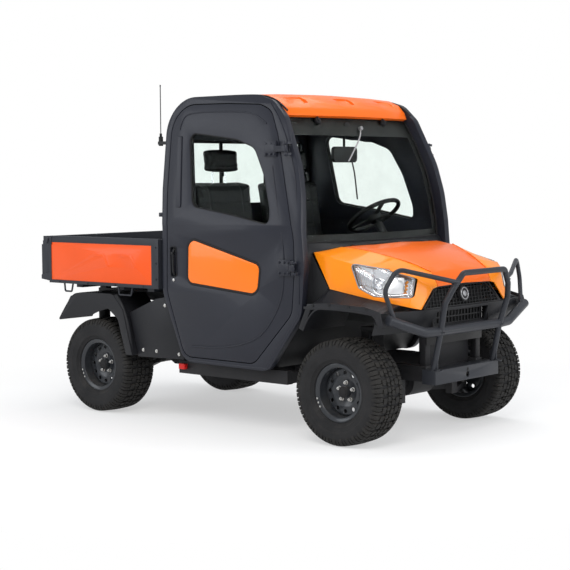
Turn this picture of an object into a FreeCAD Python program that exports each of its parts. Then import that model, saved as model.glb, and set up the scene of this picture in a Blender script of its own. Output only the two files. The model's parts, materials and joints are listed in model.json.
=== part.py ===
import FreeCAD, Part
import math
import os

# Side-by-side utility vehicle: two-seat hard cab with hinged doors, tipping cargo bed,
# knobbly tyres on steel rims and a tubular front guard.
# Millimetres. X runs forward and is measured here from the rear axle, Y runs to the left,
# Z is up from the ground. On export every piece is moved so that X = 0 is mid-length.

V = FreeCAD.Vector
UP = V(0, 0, 1)
ALONG_Y = V(0, 1, 0)
ALONG_X = V(1, 0, 0)

# ---------------------------------------------------------------- driving dimensions
MID_LENGTH_X = 1045.0        # rear axle to the middle of the overall length
WHEELBASE = 2045.0
FRONT_HALF_TRACK = 621.0
REAR_HALF_TRACK = 596.0
SEAT_GAP = 0.3               # small gap between curved or sprung pieces that seat on each other
MOVE_GAP = 6.0               # gap round moving panels
PIN_FIT = 0.05               # radial clearance of a running pin

# wheels
TYRE_R = 309.0
TYRE_W = 254.0
TREAD_CROWN = 6.0            # the tread's edge is lower than its middle
SHOULDER_R = 28.0
BEAD_R = 152.0
BEAD_W = 196.0
RIM_FLANGE_R = 169.0
RIM_FLANGE_T = 8.0
RIM_BARREL_R = 150.0
RIM_WALL = 6.0
DISC_X = 22.0                # disc plane, outboard of the wheel's centre plane
DISC_T = 8.0
HUB_R = 62.0
HUB_CAP_R = 34.0
HUB_CAP_L = 30.0
VENT_COUNT = 12
VENT_R = 12.0
VENT_PITCH_R = 112.0
SPINDLE_R = 24.0
SPINDLE_TIP = 18.0           # how far the spindle reaches past the disc

# cab sides: a flat lower wall that leans in above the belt line
SIDE_Y = 740.0
BELT_Z = 1250.0
LEAN_IN = 90.0               # inward lean at LEAN_TOP_Z
LEAN_TOP_Z = 2000.0
FRAME_T = 45.0
DOOR_T = 40.0
GLASS_T = 5.0
DOOR_GLASS_DEPTH = 14.0
INSERT_T = 7.0
INSERT_RECESS = 5.0
INSERT_RIM = 16.0            # rubber surround between insert and door
HANDLE_DEPTH = 24.0

# outer edge of the cab side frame: x, z, corner radius
FRAME_EDGE = [
    (656.0, 830.0, 250.0),
    (835.0, 400.0, 110.0),
    (1530.0, 392.0, 110.0),
    (1790.0, 735.0, 130.0),
    (1812.0, 1000.0, 250.0),
    (1777.0, 1430.0, 400.0),
    (1735.0, 1610.0, 400.0),
    (1605.0, 1895.0, 120.0),
    (1510.0, 1988.0, 120.0),
    (1400.0, 2020.0, 150.0),
    (1150.0, 2029.0, 300.0),
    (638.0, 2029.0, 230.0),
    (642.0, 1460.0, 400.0),
    (662.0, 1220.0, 300.0),
]

# outer edge of the door: x, z, corner radius
DOOR_EDGE = [
    (700.0, 830.0, 230.0),
    (845.0, 434.0, 90.0),
    (1420.0, 432.0, 90.0),
    (1716.0, 742.0, 110.0),
    (1737.0, 1000.0, 250.0),
    (1731.0, 1190.0, 400.0),
    (1655.0, 1465.0, 500.0),
    (1566.0, 1775.0, 400.0),
    (1500.0, 1925.0, 90.0),
    (1415.0, 1962.0, 120.0),
    (1150.0, 1976.0, 300.0),
    (688.0, 1982.0, 185.0),
    (690.0, 1460.0, 400.0),
    (708.0, 1220.0, 300.0),
]

# door window: x, z, corner radius
WINDOW_EDGE = [
    (838.0, 1815.0, 50.0),
    (905.0, 1356.0, 60.0),
    (1235.0, 1308.0, 400.0),
    (1540.0, 1253.0, 34.0),
    (1546.0, 1340.0, 160.0),
    (1480.0, 1550.0, 300.0),
    (1388.0, 1714.0, 100.0),
    (1245.0, 1764.0, 200.0),
]

# coloured insert in the lower door: x, z, corner radius
INSERT_EDGE = [
    (876.0, 1182.0, 66.0),
    (866.0, 880.0, 58.0),
    (1462.0, 829.0, 70.0),
    (1487.0, 1028.0, 56.0),
]

HANDLE_EDGE = [
    (729.0, 1108.0, 12.0),
    (733.0, 917.0, 18.0),
    (786.0, 925.0, 22.0),
    (780.0, 1108.0, 12.0),
]

# door hinge line: the two pins lie on it
HINGE_LOW = V(1750.0, -765.0, 1010.0)
HINGE_HIGH = V(1660.0, -715.0, 1700.0)
HINGE_PIN_R = 7.0
HINGE_BARREL_R = 12.0
HINGE_PIN_HALF = 44.0
HINGE_KNUCKLE_HALF = 20.0
HINGE_PAD_L = 96.0

# windshield: z, x at the edge, x at the middle
SCREEN_ROWS = [
    (1150.0, 1736.0, 1850.0),
    (1400.0, 1712.0, 1802.0),
    (1570.0, 1678.0, 1750.0),
    (1750.0, 1606.0, 1662.0),
    (1896.0, 1524.0, 1566.0),
]
SCREEN_T = 6.0

# roof: half sections across the cab: x, z of the top at the middle, drop and setback at the side
ROOF_ROWS = [
    (1606.0, 1902.0, 2.0, 46.0),
    (1588.0, 1945.0, 4.0, 44.0),
    (1528.0, 1998.0, 8.0, 30.0),
    (1430.0, 2036.0, 14.0, 10.0),
    (1300.0, 2046.0, 18.0, 0.0),
    (900.0, 2044.0, 18.0, 0.0),
    (780.0, 2026.0, 16.0, 0.0),
    (700.0, 1968.0, 12.0, 0.0),
    (660.0, 1884.0, 6.0, 0.0),
]
ROOF_T = 30.0
ROOF_HALF_W = 601.0
ROOF_SLOT_L = 150.0
ROOF_SLOT_W = 20.0
ROOF_SLOT_Y = (-435.0, 0.0, 435.0)

# nose: x, crease y, crease z, middle z, shoulder y, shoulder z, bottom y, bottom z
NOSE_ROWS = [
    (1780.0, 490.0, 1134.0, 1164.0, 638.0, 1102.0, 648.0, 1000.0),
    (1925.0, 464.0, 1124.0, 1147.0, 634.0, 1072.0, 650.0, 893.0),
    (2058.0, 440.0, 1105.0, 1119.0, 620.0, 1044.0, 630.0, 868.0),
    (2185.0, 375.0, 1068.0, 1082.0, 586.0, 1022.0, 602.0, 842.0),
    (2300.0, 316.0, 1026.0, 1038.0, 536.0, 1002.0, 568.0, 822.0),
    (2385.0, 282.0, 984.0, 992.0, 452.0, 968.0, 508.0, 800.0),
    (2418.0, 274.0, 915.0, 922.0, 330.0, 905.0, 440.0, 784.0),
]
NOSE_SKIN = 10.0
LID_GAP = 6.0
COWL_GAP = 10.0                # hood's rear edge to the cowl, for the hinge's swing
# rear edge of the nose in plan: x, y
COWL_LINE = [(1795.0, 645.0), (1880.0, 466.0), (1932.0, 240.0), (1950.0, 0.0)]
NOSE_REAR_BOTTOM = (1925.0, 896.0)
NOSE_REAR_TOP = (1795.0, 1104.0)
LID_AXIS_X = 1892.0
LID_AXIS_Z = 1121.0
HOOD_HINGE_Y = 400.0
HOOD_PIN_R = 5.0

# headlight outline seen from the side: x, z, corner radius
LAMP_EDGE = [
    (2052.0, 1046.0, 22.0),
    (2110.0, 902.0, 26.0),
    (2206.0, 856.0, 24.0),
    (2392.0, 850.0, 14.0),
    (2390.0, 962.0, 18.0),
    (2262.0, 1012.0, 60.0),
]
LAMP_DEPTH = 60.0
LAMP_INNER_Y = 398.0

# front fender lip seen from the side: x, z
FENDER_LIP = [
    (1806.0, 650.0),
    (1862.0, 776.0),
    (2001.0, 786.0),
    (2249.0, 779.0),
    (2330.0, 760.0),
    (2348.0, 700.0),
]
FENDER_Y = 745.0
FENDER_T = 10.0
LINER_Y = 360.0
# front skin in plan: x at the top edge, y
BUMPER_PLAN = [(2344.0, 745.0), (2362.0, 660.0), (2392.0, 520.0), (2412.0, 408.0), (2422.0, 0.0)]
BUMPER_TOP_Z = 778.0
BUMPER_LOW_Z = 655.0
BUMPER_TUCK = 38.0
BUMPER_T = 10.0
LOWER_GRILLE_Y = 262.0
LOWER_GRILLE_Z = (676.0, 760.0)

# upper grille, tilted: foot is further forward than head
GRILLE_HEAD = (2390.0, 903.0, 262.0)    # x, z, half width
GRILLE_FOOT = (2412.0, 779.8, 398.0)
GRILLE_T = 8.0
GRILLE_SLATS = 23
GRILLE_SLAT_T = 4.0
GRILLE_RAILS = 5
BADGE_R = 46.0
LOWER_SLATS = 15

# guard tubes
GUARD_MAIN_R = 28.0
GUARD_UPRIGHT_R = 17.0
GUARD_LOOP_R = 13.5
BEAM_X = (2347.0, 2442.0)
BEAM_HALF_Y = 327.0
BEAM_Z = (343.0, 426.0)
BEAM_WALL = 8.0
BEAM_HOLE_R = 17.0

# chassis
RAIL_Y = 260.0
RAIL_W = 60.0
RAIL_H = 90.0
# top edge of the main rails: x, z
RAIL_TOP_LINE = [(-330.0, 470.0), (190.0, 470.0), (330.0, 390.0), (1660.0, 390.0), (1740.0, 440.0), (2346.7, 440.0)]
SILL_Y = 620.0
SILL_W = 50.0
TOP_RAIL_Y = 400.0
TOP_RAIL_W = 50.0
TOP_RAIL_Z = (730.0, 790.0)
TOP_RAIL_X = (-285.0, 640.0)
# cross members: x, z at the bottom and the top, half length
CROSS_ROWS = [
    (-330.0, 392.0, 458.0, 260.0),
    (700.0, 312.0, 378.0, 620.0),
    (1300.0, 312.0, 378.0, 620.0),
    (1540.0, 312.0, 378.0, 620.0),
    (2230.0, 402.0, 428.0, 260.0),
]
CROSS_L = 60.0
FLOOR_RAIL_Z = 390.0         # top of the rails and sills under the cab
SHAFT_NOTCH_Y = 34.0
SHAFT_NOTCH_Z = 320.0
POST_TOP_Z = 769.7
HITCH_BORE_R = 25.5
HITCH_L = 120.0

# steering and front suspension
KINGPIN_Y = 520.0
KINGPIN_R = 11.0
ARM_LOW_Z = TYRE_R - 87.0
ARM_HIGH_Z = TYRE_R + 87.0
ARM_T = 32.0
KNUCKLE_R = 34.0
STRUT_R = 36.0
STRUT_SETBACK = 50.0

# drive shaft
SHAFT_R = 16.0
SHAFT_REAR_Z = 374.0
SHAFT_FRONT_Z = 341.0

# steering wheel
WHEEL_CENTRE = V(1485.0, 350.0, 1285.0)
COLUMN_TILT = 56.0           # column's rise from level, degrees
WHEEL_RING_R = 175.0
WHEEL_TUBE_R = 14.0
COLUMN_R = 26.0
COLUMN_SHAFT_R = 10.0

# cab crossbars, floor and back wall
HEADER_X = (1475.0, 1517.0)
HEADER_Z = (1870.0, 1910.0)
COWL_BAR_X = (1700.0, 1732.0)
COWL_BAR_Z = (1088.0, 1128.0)
PAN_T = 12.0
FLOOR_Z = 400.0
FLOOR_BACK_X = 848.0
WALL_X = 664.0
WALL_T = 22.0
WALL_BEND_Z = 830.0
WALL_TOP_Z = 1860.0

# seats
SEAT_Y = 342.0
SEAT_W = 560.0
SEAT_BASE_Z = 800.0
SEAT_TOP_Z = 930.0
CUSHION_X = (800.0, 1196.0)
CUSHION_RISE = 24.0
BACK_T = 120.0
HEADREST_W = 268.0
HEADREST_Z = (1570.0, 1708.0)

# cargo bed
BED_X = (-400.0, 640.0)
BED_HALF_Y = 760.0
BED_FLOOR_Z = (840.0, 860.0)
BED_TOP_Z = 1150.0
BED_CROSS_X = (-195.0, 200.0, 480.0)
BED_CROSS_H = 26.0
HOOK_ROWS = ((-262.0, 84.0), (262.0, 130.0))   # x, length
HOOK_LOW_Z = 788.0
BED_WALL = 28.0
BED_PANEL_X = (-378.0, 578.0)
BED_PANEL_Z = (861.0, 1111.0)
BED_PANEL_RECESS = 8.0
BED_PANEL_T = 5.0
BED_PIVOT = V(-240.0, 0.0, 812.0)
BED_PIN_R = 12.0
TAILGATE_X = (-480.0, -406.0)
TAILGATE_Z = (866.0, 1150.0)
TAILGATE_PIN_R = 9.0
TAILGATE_EAR_T = 5.5
TAILGATE_PIN_X = TAILGATE_X[0] + 14.0
TAILGATE_PIN_Z = TAILGATE_Z[0] + 12.0

# hoist cylinder
HOIST_Y = 335.0
HOIST_FOOT = V(-40.0, HOIST_Y, 460.0)
HOIST_EYE = V(130.0, HOIST_Y, 805.0)
HOIST_BARREL_R = 27.0
HOIST_BORE_R = 20.0
HOIST_ROD_R = 14.0
HOIST_BARREL_L = 335.0
HOIST_PIN_R = 12.0
HOIST_EYE_R = 38.0
HOIST_EYE_BORE_R = 26.0
HOIST_EYE_W = 24.0

# rear fender seen from the side: x, z
REAR_FENDER_TOP = [
    (-325.0, 598.0),
    (-207.0, 757.0),
    (-120.0, 784.0),
    (205.0, 784.0),
    (292.0, 690.0),
    (376.0, 404.0),
]
REAR_FENDER_Y = BED_HALF_Y - 15.0
REAR_FENDER_INNER_Y = 455.0
REAR_FENDER_T = 8.0

# belly panel between rear fender and cab: x, z
SIDE_PANEL_EDGE = [
    (392.0, 394.0), (806.0, 404.0), (716.0, 610.0), (650.0, 788.0), (560.0, 772.0), (316.0, 672.0),
]
SIDE_PANEL_Y = 705.0
SIDE_PANEL_T = 8.0


# ---------------------------------------------------------------- helpers
def box(x_span, y_span, z_span):
    """A block between two X, two Y and two Z values."""
    size = (x_span[1] - x_span[0], y_span[1] - y_span[0], z_span[1] - z_span[0])
    return Part.makeBox(*size, V(x_span[0], y_span[0], z_span[0]))


def rod(start, end, radius):
    """A round bar between two points."""
    run = end.sub(start)
    return Part.makeCylinder(radius, run.Length, start, run)


def mirrored(shape):
    """The same piece on the vehicle's other side."""
    return shape.mirror(V(0, 0, 0), ALONG_Y)


def both_sides(shape):
    return [shape, mirrored(shape)]


def fuse_all(shapes):
    """One solid from pieces that overlap or touch."""
    joined = shapes[0]
    if len(shapes) > 1:
        joined = joined.multiFuse(shapes[1:])
    return joined.removeSplitter()


def members(parts):
    """Welded members as separate solids: each one stops where an earlier one passes."""
    made = []
    for part in parts:
        for other in made:
            if part.BoundBox.intersect(other.BoundBox):
                part = part.cut(other)
        made += [solid for solid in part.Solids if solid.Volume > 10.0]
    return made


def corner(before, point, after, radius):
    """Tangent points and mid-point of the arc that rounds one corner."""
    back = before.sub(point)
    ahead = after.sub(point)
    half = back.getAngle(ahead) / 2.0
    reach = min(radius / math.tan(half), 0.47 * back.Length, 0.47 * ahead.Length)
    true_radius = reach * math.tan(half)
    back.normalize()
    ahead.normalize()
    middle = back.add(ahead)
    middle.normalize()
    to_arc = true_radius / math.sin(half) - true_radius
    return point + back * reach, point + middle * to_arc, point + ahead * reach


def rounded_wire(points, radii, closed):
    """Straight runs joined by tangent arcs."""
    count = len(points)
    edges = []
    cursor = None
    first = None
    for index in range(count):
        point = points[index]
        at_end = not closed and index in (0, count - 1)
        if at_end or radii[index] <= 0:
            enter = leave = point
            arc = None
        else:
            before = points[index - 1]
            after = points[(index + 1) % count]
            enter, middle, leave = corner(before, point, after, radii[index])
            arc = Part.Arc(enter, middle, leave).toShape()
        if cursor is None:
            first = enter
        elif cursor.distanceToPoint(enter) > 1e-4:
            edges.append(Part.LineSegment(cursor, enter).toShape())
        if arc is not None:
            edges.append(arc)
        cursor = leave
    if closed and cursor.distanceToPoint(first) > 1e-4:
        edges.append(Part.LineSegment(cursor, first).toShape())
    return Part.Wire(edges)


def tube(points, radius, bend):
    """A round bar along straight runs with bends of one radius."""
    path = rounded_wire(points, [bend] * len(points), False)
    ring = Part.Wire(Part.Circle(points[0], points[1].sub(points[0]), radius).toShape())
    return path.makePipeShell([ring], True, False)


def side_prism(outline, y_span):
    """A plate seen from the side: rows of x, z and, if given, a corner radius."""
    points = [V(row[0], y_span[0], row[1]) for row in outline]
    radii = [row[2] if len(row) > 2 else 0.0 for row in outline]
    face = Part.Face(rounded_wire(points, radii, True))
    return face.extrude(V(0, y_span[1] - y_span[0], 0))


def plan_prism(outline, z_span):
    """A plate seen from above: rows of x, y."""
    points = [V(row[0], row[1], z_span[0]) for row in outline]
    face = Part.Face(rounded_wire(points, [0.0] * len(points), True))
    return face.extrude(V(0, 0, z_span[1] - z_span[0]))


def front_prism(outline, x_span, radius=0.0):
    """A plate seen from the front: rows of y, z."""
    points = [V(x_span[0], row[0], row[1]) for row in outline]
    face = Part.Face(rounded_wire(points, [radius] * len(points), True))
    return face.extrude(V(x_span[1] - x_span[0], 0, 0))


def inset(outline, distance):
    """The same outline moved inwards, or outwards when the distance is negative."""
    count = len(outline)
    area = 0.0
    for index in range(count):
        x0, z0 = outline[index - 1][:2]
        x1, z1 = outline[index][:2]
        area += x0 * z1 - x1 * z0
    turn = 1.0 if area > 0 else -1.0
    moved = []
    for index in range(count):
        here = V(outline[index][0], outline[index][1], 0)
        before = here.sub(V(outline[index - 1][0], outline[index - 1][1], 0))
        after_row = outline[(index + 1) % count]
        after = V(after_row[0], after_row[1], 0).sub(here)
        before.normalize()
        after.normalize()
        normal_a = V(-before.y, before.x, 0) * turn
        normal_b = V(-after.y, after.x, 0) * turn
        shift = (normal_a + normal_b) * (distance / (1.0 + normal_a.dot(normal_b)))
        radius = outline[index][2] if len(outline[index]) > 2 else 0.0
        if radius > 0:
            outward = before.cross(after).z * turn > 0
            radius = max(1.0, radius - distance if outward else radius + distance)
        moved.append((here.x + shift.x, here.y + shift.y, radius))
    return moved


def offset_line(line, distance):
    """An open side-view line moved to its left by a distance, end rows square to the line."""
    moved = []
    for index, (x, z) in enumerate(line):
        runs = []
        if index > 0:
            runs.append(V(x - line[index - 1][0], z - line[index - 1][1], 0).normalize())
        if index < len(line) - 1:
            runs.append(V(line[index + 1][0] - x, line[index + 1][1] - z, 0).normalize())
        normals = [V(-run.y, run.x, 0) for run in runs]
        total = normals[0] if len(normals) == 1 else normals[0] + normals[1]
        scale = distance if len(normals) == 1 else distance / (1.0 + normals[0].dot(normals[1]))
        moved.append((x + total.x * scale, z + total.y * scale))
    return moved


def strip(line, thickness, y_span):
    """A folded strip: a side-view line given a thickness and a width in Y."""
    return side_prism(list(line) + offset_line(line, thickness)[::-1], y_span)


LEAN_ANGLE = math.atan(LEAN_IN / (LEAN_TOP_Z - BELT_Z))


def lean_y(z):
    """How far the cab side has moved inwards at a height."""
    return max(0.0, z - BELT_Z) * math.tan(LEAN_ANGLE)


def inner_half(z):
    """Half the width between the inner faces of the side loops at a height."""
    if z <= BELT_Z:
        return SIDE_Y - FRAME_T
    return SIDE_Y - FRAME_T / math.cos(LEAN_ANGLE) - lean_y(z)


def x_at(line, z):
    """X of a side-view line at a height."""
    for (x0, z0), (x1, z1) in zip(line, line[1:]):
        if min(z0, z1) <= z <= max(z0, z1) and z0 != z1:
            return x0 + (x1 - x0) * (z - z0) / (z1 - z0)
    return line[-1][0]


def side_layer(outline, depth_span):
    """A layer of the right cab side, between two depths under its outer surface.

    The outline is drawn flat. The part above the belt line leans in about that line.
    """
    stretched = []
    for row in outline:
        z = row[1]
        if z > BELT_Z:
            z = BELT_Z + (z - BELT_Z) / math.cos(LEAN_ANGLE)
        stretched.append((row[0], z, row[2] if len(row) > 2 else 0.0))
    y_span = (-SIDE_Y + depth_span[0], -SIDE_Y + depth_span[1])
    plate = side_prism(stretched, y_span)
    big = 4000.0
    low = plate.common(box((-big, big), (-big, big), (-big, BELT_Z)))
    high = plate.common(box((-big, big), (-big, big), (BELT_Z, big)))
    pivot = V(0, -SIDE_Y, BELT_Z)
    if high.Volume < 1.0:
        return low
    high.rotate(pivot, ALONG_X, -math.degrees(LEAN_ANGLE))
    if low.Volume < 1.0:
        return high
    return fuse_all([low, high])


def loft(wires, ruled=True):
    return Part.makeLoft(wires, True, ruled)


def polygon(points):
    return Part.makePolygon(list(points) + [points[0]])


# ---------------------------------------------------------------- wheels
def wheel_profile_solid(rows):
    """A ring turned about the Y axis: rows of y, r."""
    points = [V(0, row[0], row[1]) for row in rows]
    radii = [row[2] if len(row) > 2 else 0.0 for row in rows]
    face = Part.Face(rounded_wire(points, radii, True))
    return face.revolve(V(0, 0, 0), ALONG_Y, 360)


def make_tyre():
    half = TYRE_W / 2.0
    bead = BEAD_W / 2.0
    rows = [
        (-half + 8.0, TYRE_R - TREAD_CROWN, SHOULDER_R),
        (-half * 0.45, TYRE_R),
        (half * 0.45, TYRE_R),
        (half - 8.0, TYRE_R - TREAD_CROWN, SHOULDER_R),
        (half, TYRE_R * 0.76),
        (bead + 2.0, RIM_FLANGE_R + 2.5),
        (bead - 6.0, RIM_FLANGE_R + 0.6),
        (bead - RIM_FLANGE_T, BEAD_R),
        (-bead + RIM_FLANGE_T, BEAD_R),
        (-bead + 6.0, RIM_FLANGE_R + 0.6),
        (-bead - 2.0, RIM_FLANGE_R + 2.5),
        (-half, TYRE_R * 0.76),
    ]
    return wheel_profile_solid(rows)


def make_rim():
    """A steel rim with a vented disc, its outer side at negative Y."""
    half = BEAD_W / 2.0
    barrel = RIM_BARREL_R + 1.7
    outer = [
        (-half - 2.0, RIM_FLANGE_R),
        (-half + RIM_FLANGE_T - 3.0, RIM_FLANGE_R),
        (-half + RIM_FLANGE_T - 1.0, barrel),
        (half - RIM_FLANGE_T + 1.0, barrel),
        (half - RIM_FLANGE_T + 3.0, RIM_FLANGE_R),
        (half + 2.0, RIM_FLANGE_R),
        (half + 2.0, RIM_FLANGE_R - RIM_WALL),
        (half - RIM_FLANGE_T, RIM_BARREL_R - RIM_WALL),
        (-half + RIM_FLANGE_T, RIM_BARREL_R - RIM_WALL),
        (-half - 2.0, RIM_FLANGE_R - RIM_WALL),
    ]
    ring = wheel_profile_solid(outer)
    inner_r = RIM_BARREL_R - RIM_WALL
    disc_rows = [
        (-DISC_X, 0.0),
        (-DISC_X, HUB_R),
        (-DISC_X - 14.0, HUB_R + 22.0),
        (-DISC_X - 14.0, inner_r - 12.0),
        (-DISC_X - 2.0, inner_r + 1.0),
        (-DISC_X - 2.0 + DISC_T, inner_r + 1.0),
        (-DISC_X - 14.0 + DISC_T, inner_r - 14.0),
        (-DISC_X - 14.0 + DISC_T, HUB_R + 20.0),
        (-DISC_X + DISC_T, HUB_R - 2.0),
        (-DISC_X + DISC_T, 0.0),
    ]
    disc = wheel_profile_solid(disc_rows)
    for index in range(VENT_COUNT):
        angle = 2.0 * math.pi * index / VENT_COUNT
        centre = V(VENT_PITCH_R * math.cos(angle), 0, VENT_PITCH_R * math.sin(angle))
        disc = disc.cut(rod(centre + V(0, -80, 0), centre + V(0, 80, 0), VENT_R))
    cap = rod(V(0, -DISC_X - HUB_CAP_L, 0), V(0, -DISC_X + 1.0, 0), HUB_CAP_R)
    rim = fuse_all([ring, disc, cap])
    bore = rod(V(0, -DISC_X - SPINDLE_TIP - 2.0, 0), V(0, 80, 0), SPINDLE_R + PIN_FIT)
    return rim.cut(bore)


def spindle(from_y, half_track):
    """Right-hand wheel spindle at Z = TYRE_R, X = 0, from the carrier to inside the hub cap."""
    tip_y = -half_track - DISC_X - SPINDLE_TIP
    flange = rod(V(0, -half_track + 6.0, TYRE_R), V(0, from_y, TYRE_R), SPINDLE_R + 16.0)
    return fuse_all([rod(V(0, tip_y, TYRE_R), V(0, from_y, TYRE_R), SPINDLE_R), flange])


def wheels():
    tyre = make_tyre()
    rim = make_rim()
    made = {}
    for end, x, half_track in (("front", WHEELBASE, FRONT_HALF_TRACK), ("rear", 0.0, REAR_HALF_TRACK)):
        for name, piece in (("tyre", tyre), ("rim", rim)):
            right = piece.copy()
            right.translate(V(x, -half_track, TYRE_R))
            made[f"{name}_{end}_right"] = [right]
            made[f"{name}_{end}_left"] = [mirrored(right)]
    return made


# ---------------------------------------------------------------- running gear
def chassis_frame():
    """Ladder frame with cab outriggers, a raised rear frame for the bed and a front post pair."""
    floor_top = FLOOR_RAIL_Z
    rear_top = RAIL_TOP_LINE[0][1]
    rear_x = RAIL_TOP_LINE[0][0]
    bore_z = rear_top - RAIL_H / 2.0
    # rear hitch receiver
    parts = [box((rear_x - 60.0, rear_x + 62.0), (-50.0, 50.0), (bore_z - 38.0, bore_z + 38.0))]
    for side in (-1.0, 1.0):
        y = side * RAIL_Y
        parts.append(strip(RAIL_TOP_LINE, -RAIL_H, (y - RAIL_W / 2.0, y + RAIL_W / 2.0)))
    parts += [box((x, x + CROSS_L), (-half_y, half_y), (low, high)) for x, low, high, half_y in CROSS_ROWS]
    notch = box((CROSS_ROWS[1][0] - 1.0, CROSS_ROWS[3][0] + CROSS_L + 1.0), (-SHAFT_NOTCH_Y, SHAFT_NOTCH_Y),
                (SHAFT_NOTCH_Z, floor_top))
    parts = [part.cut(notch) for part in parts]
    front_x = RAIL_TOP_LINE[-1][0]
    for side in (-1.0, 1.0):
        y = side * SILL_Y
        parts.append(box((CROSS_ROWS[1][0], CROSS_ROWS[3][0] + CROSS_L), (y - SILL_W / 2.0, y + SILL_W / 2.0),
                         (floor_top - RAIL_H + 8.0, floor_top)))
        y = side * TOP_RAIL_Y
        rail_y = (y - TOP_RAIL_W / 2.0, y + TOP_RAIL_W / 2.0)
        parts.append(box(TOP_RAIL_X, rail_y, TOP_RAIL_Z))
        for x, top in ((TOP_RAIL_X[0], rear_top), (TOP_RAIL_X[1] - CROSS_L, floor_top)):
            reach = sorted((side * (RAIL_Y - RAIL_W / 2.0), side * (TOP_RAIL_Y + TOP_RAIL_W / 2.0)))
            parts.append(box((x, x + CROSS_L), reach, (top - 60.0, top)))
            parts.append(box((x, x + CROSS_L), rail_y, (top - 60.0, TOP_RAIL_Z[1])))
        parts.append(box((front_x - 47.0, front_x - 7.0), (side * RAIL_Y - 22.0, side * RAIL_Y + 22.0),
                         (RAIL_TOP_LINE[-1][1] - 40.0, POST_TOP_Z)))
        # pad that the lowered bed rests on, and the ears of the bed's tipping pin
        parts.append(box((BED_CROSS_X[2], BED_CROSS_X[2] + 60.0), rail_y,
                         (TOP_RAIL_Z[1], BED_FLOOR_Z[0] - BED_CROSS_H - SEAT_GAP)))
        for ear in (-24.0, 12.0):
            pin_x = BED_PIVOT.x
            plate = side_prism([(pin_x - 35.0, 780.0), (pin_x + 35.0, 780.0), (pin_x + 20.0, 832.0, 16.0),
                                (pin_x - 20.0, 832.0, 16.0)], (y + ear, y + ear + 12.0))
            parts.append(plate)
    for x in (TOP_RAIL_X[0], TOP_RAIL_X[1] - CROSS_L):
        parts.append(box((x, x + CROSS_L), (-TOP_RAIL_Y, TOP_RAIL_Y), (TOP_RAIL_Z[0] + 8.0, TOP_RAIL_Z[1] - 8.0)))
    parts.append(box((front_x - 47.0, front_x - 7.0), (-RAIL_Y, RAIL_Y), (POST_TOP_Z - 30.0, POST_TOP_Z)))
    # hoist foot: a cross bar from rail to rail frame with two ears and a pin
    foot = HOIST_FOOT
    bar_z = (rear_top - 46.0, rear_top - 10.0)
    parts.append(box((foot.x - 72.0, foot.x - 34.0), (RAIL_Y, HOIST_Y + 60.0), bar_z))
    half = HOIST_EYE_W / 2.0
    for y in (HOIST_Y - half - 14.0, HOIST_Y + half + 4.0):
        ear = side_prism([(foot.x - 72.0, bar_z[0]), (foot.x + 18.0, foot.z - 22.0), (foot.x + 22.0, foot.z + 20.0, 18.0),
                          (foot.x - 24.0, foot.z + 20.0, 18.0), (foot.x - 72.0, bar_z[1])], (y, y + 10.0))
        parts.append(ear)
    parts.append(rod(V(foot.x, HOIST_Y - 26.0, foot.z), V(foot.x, HOIST_Y + 26.0, foot.z), HOIST_PIN_R))
    bores = [rod(V(rear_x - 80.0, 0, bore_z), V(rear_x - 60.0 + HITCH_L, 0, bore_z), HITCH_BORE_R)]
    for side in (-1.0, 1.0):
        pin = V(BED_PIVOT.x, side * TOP_RAIL_Y, BED_PIVOT.z)
        bores.append(rod(pin + V(0, -40, 0), pin + V(0, 40, 0), BED_PIN_R + PIN_FIT))
    return members([part.cut(bores) for part in parts])


def front_suspension():
    """Lower and upper arms with kingpins, and a strut tower on each side."""
    x = WHEELBASE
    parts = []
    inner_y = -RAIL_Y - RAIL_W / 2.0
    for z, pin_span in ((ARM_LOW_Z, (-10.0, 40.0)), (ARM_HIGH_Z, (-32.0, 14.0))):
        outline = [(x - 26.0, -KINGPIN_Y - 22.0), (x + 26.0, -KINGPIN_Y - 22.0), (x + 30.0, -KINGPIN_Y + 30.0),
                   (x + 120.0, inner_y), (x + 74.0, inner_y), (x, -KINGPIN_Y + 90.0), (x - 74.0, inner_y),
                   (x - 120.0, inner_y), (x - 30.0, -KINGPIN_Y + 30.0)]
        t = ARM_T if z == ARM_LOW_Z else ARM_T - 6.0
        pin = V(x, -KINGPIN_Y, 0)
        parts.append(fuse_all([plan_prism(outline, (z - t / 2.0, z + t / 2.0)),
                               rod(pin + V(0, 0, z + pin_span[0]), pin + V(0, 0, z + pin_span[1]), KINGPIN_R)]))
    # brackets carry the arms from the rail's underside and outer face
    rail_top = RAIL_TOP_LINE[-1][1]
    for dx in (-120.0, 74.0):
        parts.append(box((x + dx, x + dx + 46.0), (inner_y - 6.0, inner_y + 50.0), (ARM_LOW_Z - 16.0, rail_top - RAIL_H)))
        parts.append(box((x + dx, x + dx + 46.0), (inner_y - 6.0, inner_y), (rail_top - RAIL_H, ARM_HIGH_Z + 13.0)))
    # strut behind the drive shaft, under a tower on the rail
    strut_x = x - STRUT_SETBACK
    parts.append(rod(V(strut_x, -404.0, ARM_LOW_Z), V(strut_x, -350.0, 640.0), 14.0))
    parts.append(rod(V(strut_x, -387.0, 350.0), V(strut_x, -358.0, 575.0), STRUT_R))
    for dx in (-50.0, 42.0):
        tower = front_prism([(inner_y, rail_top - 20.0), (inner_y, 655.0), (-385.0, 655.0), (-385.0, 600.0),
                             (inner_y - 20.0, rail_top - 20.0)], (strut_x + dx, strut_x + dx + 8.0))
        parts.append(tower)
    parts.append(box((strut_x - 50.0, strut_x + 50.0), (-385.0, inner_y), (630.0, 655.0)))
    right = members(parts)
    return right + [mirrored(solid) for solid in right]


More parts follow.
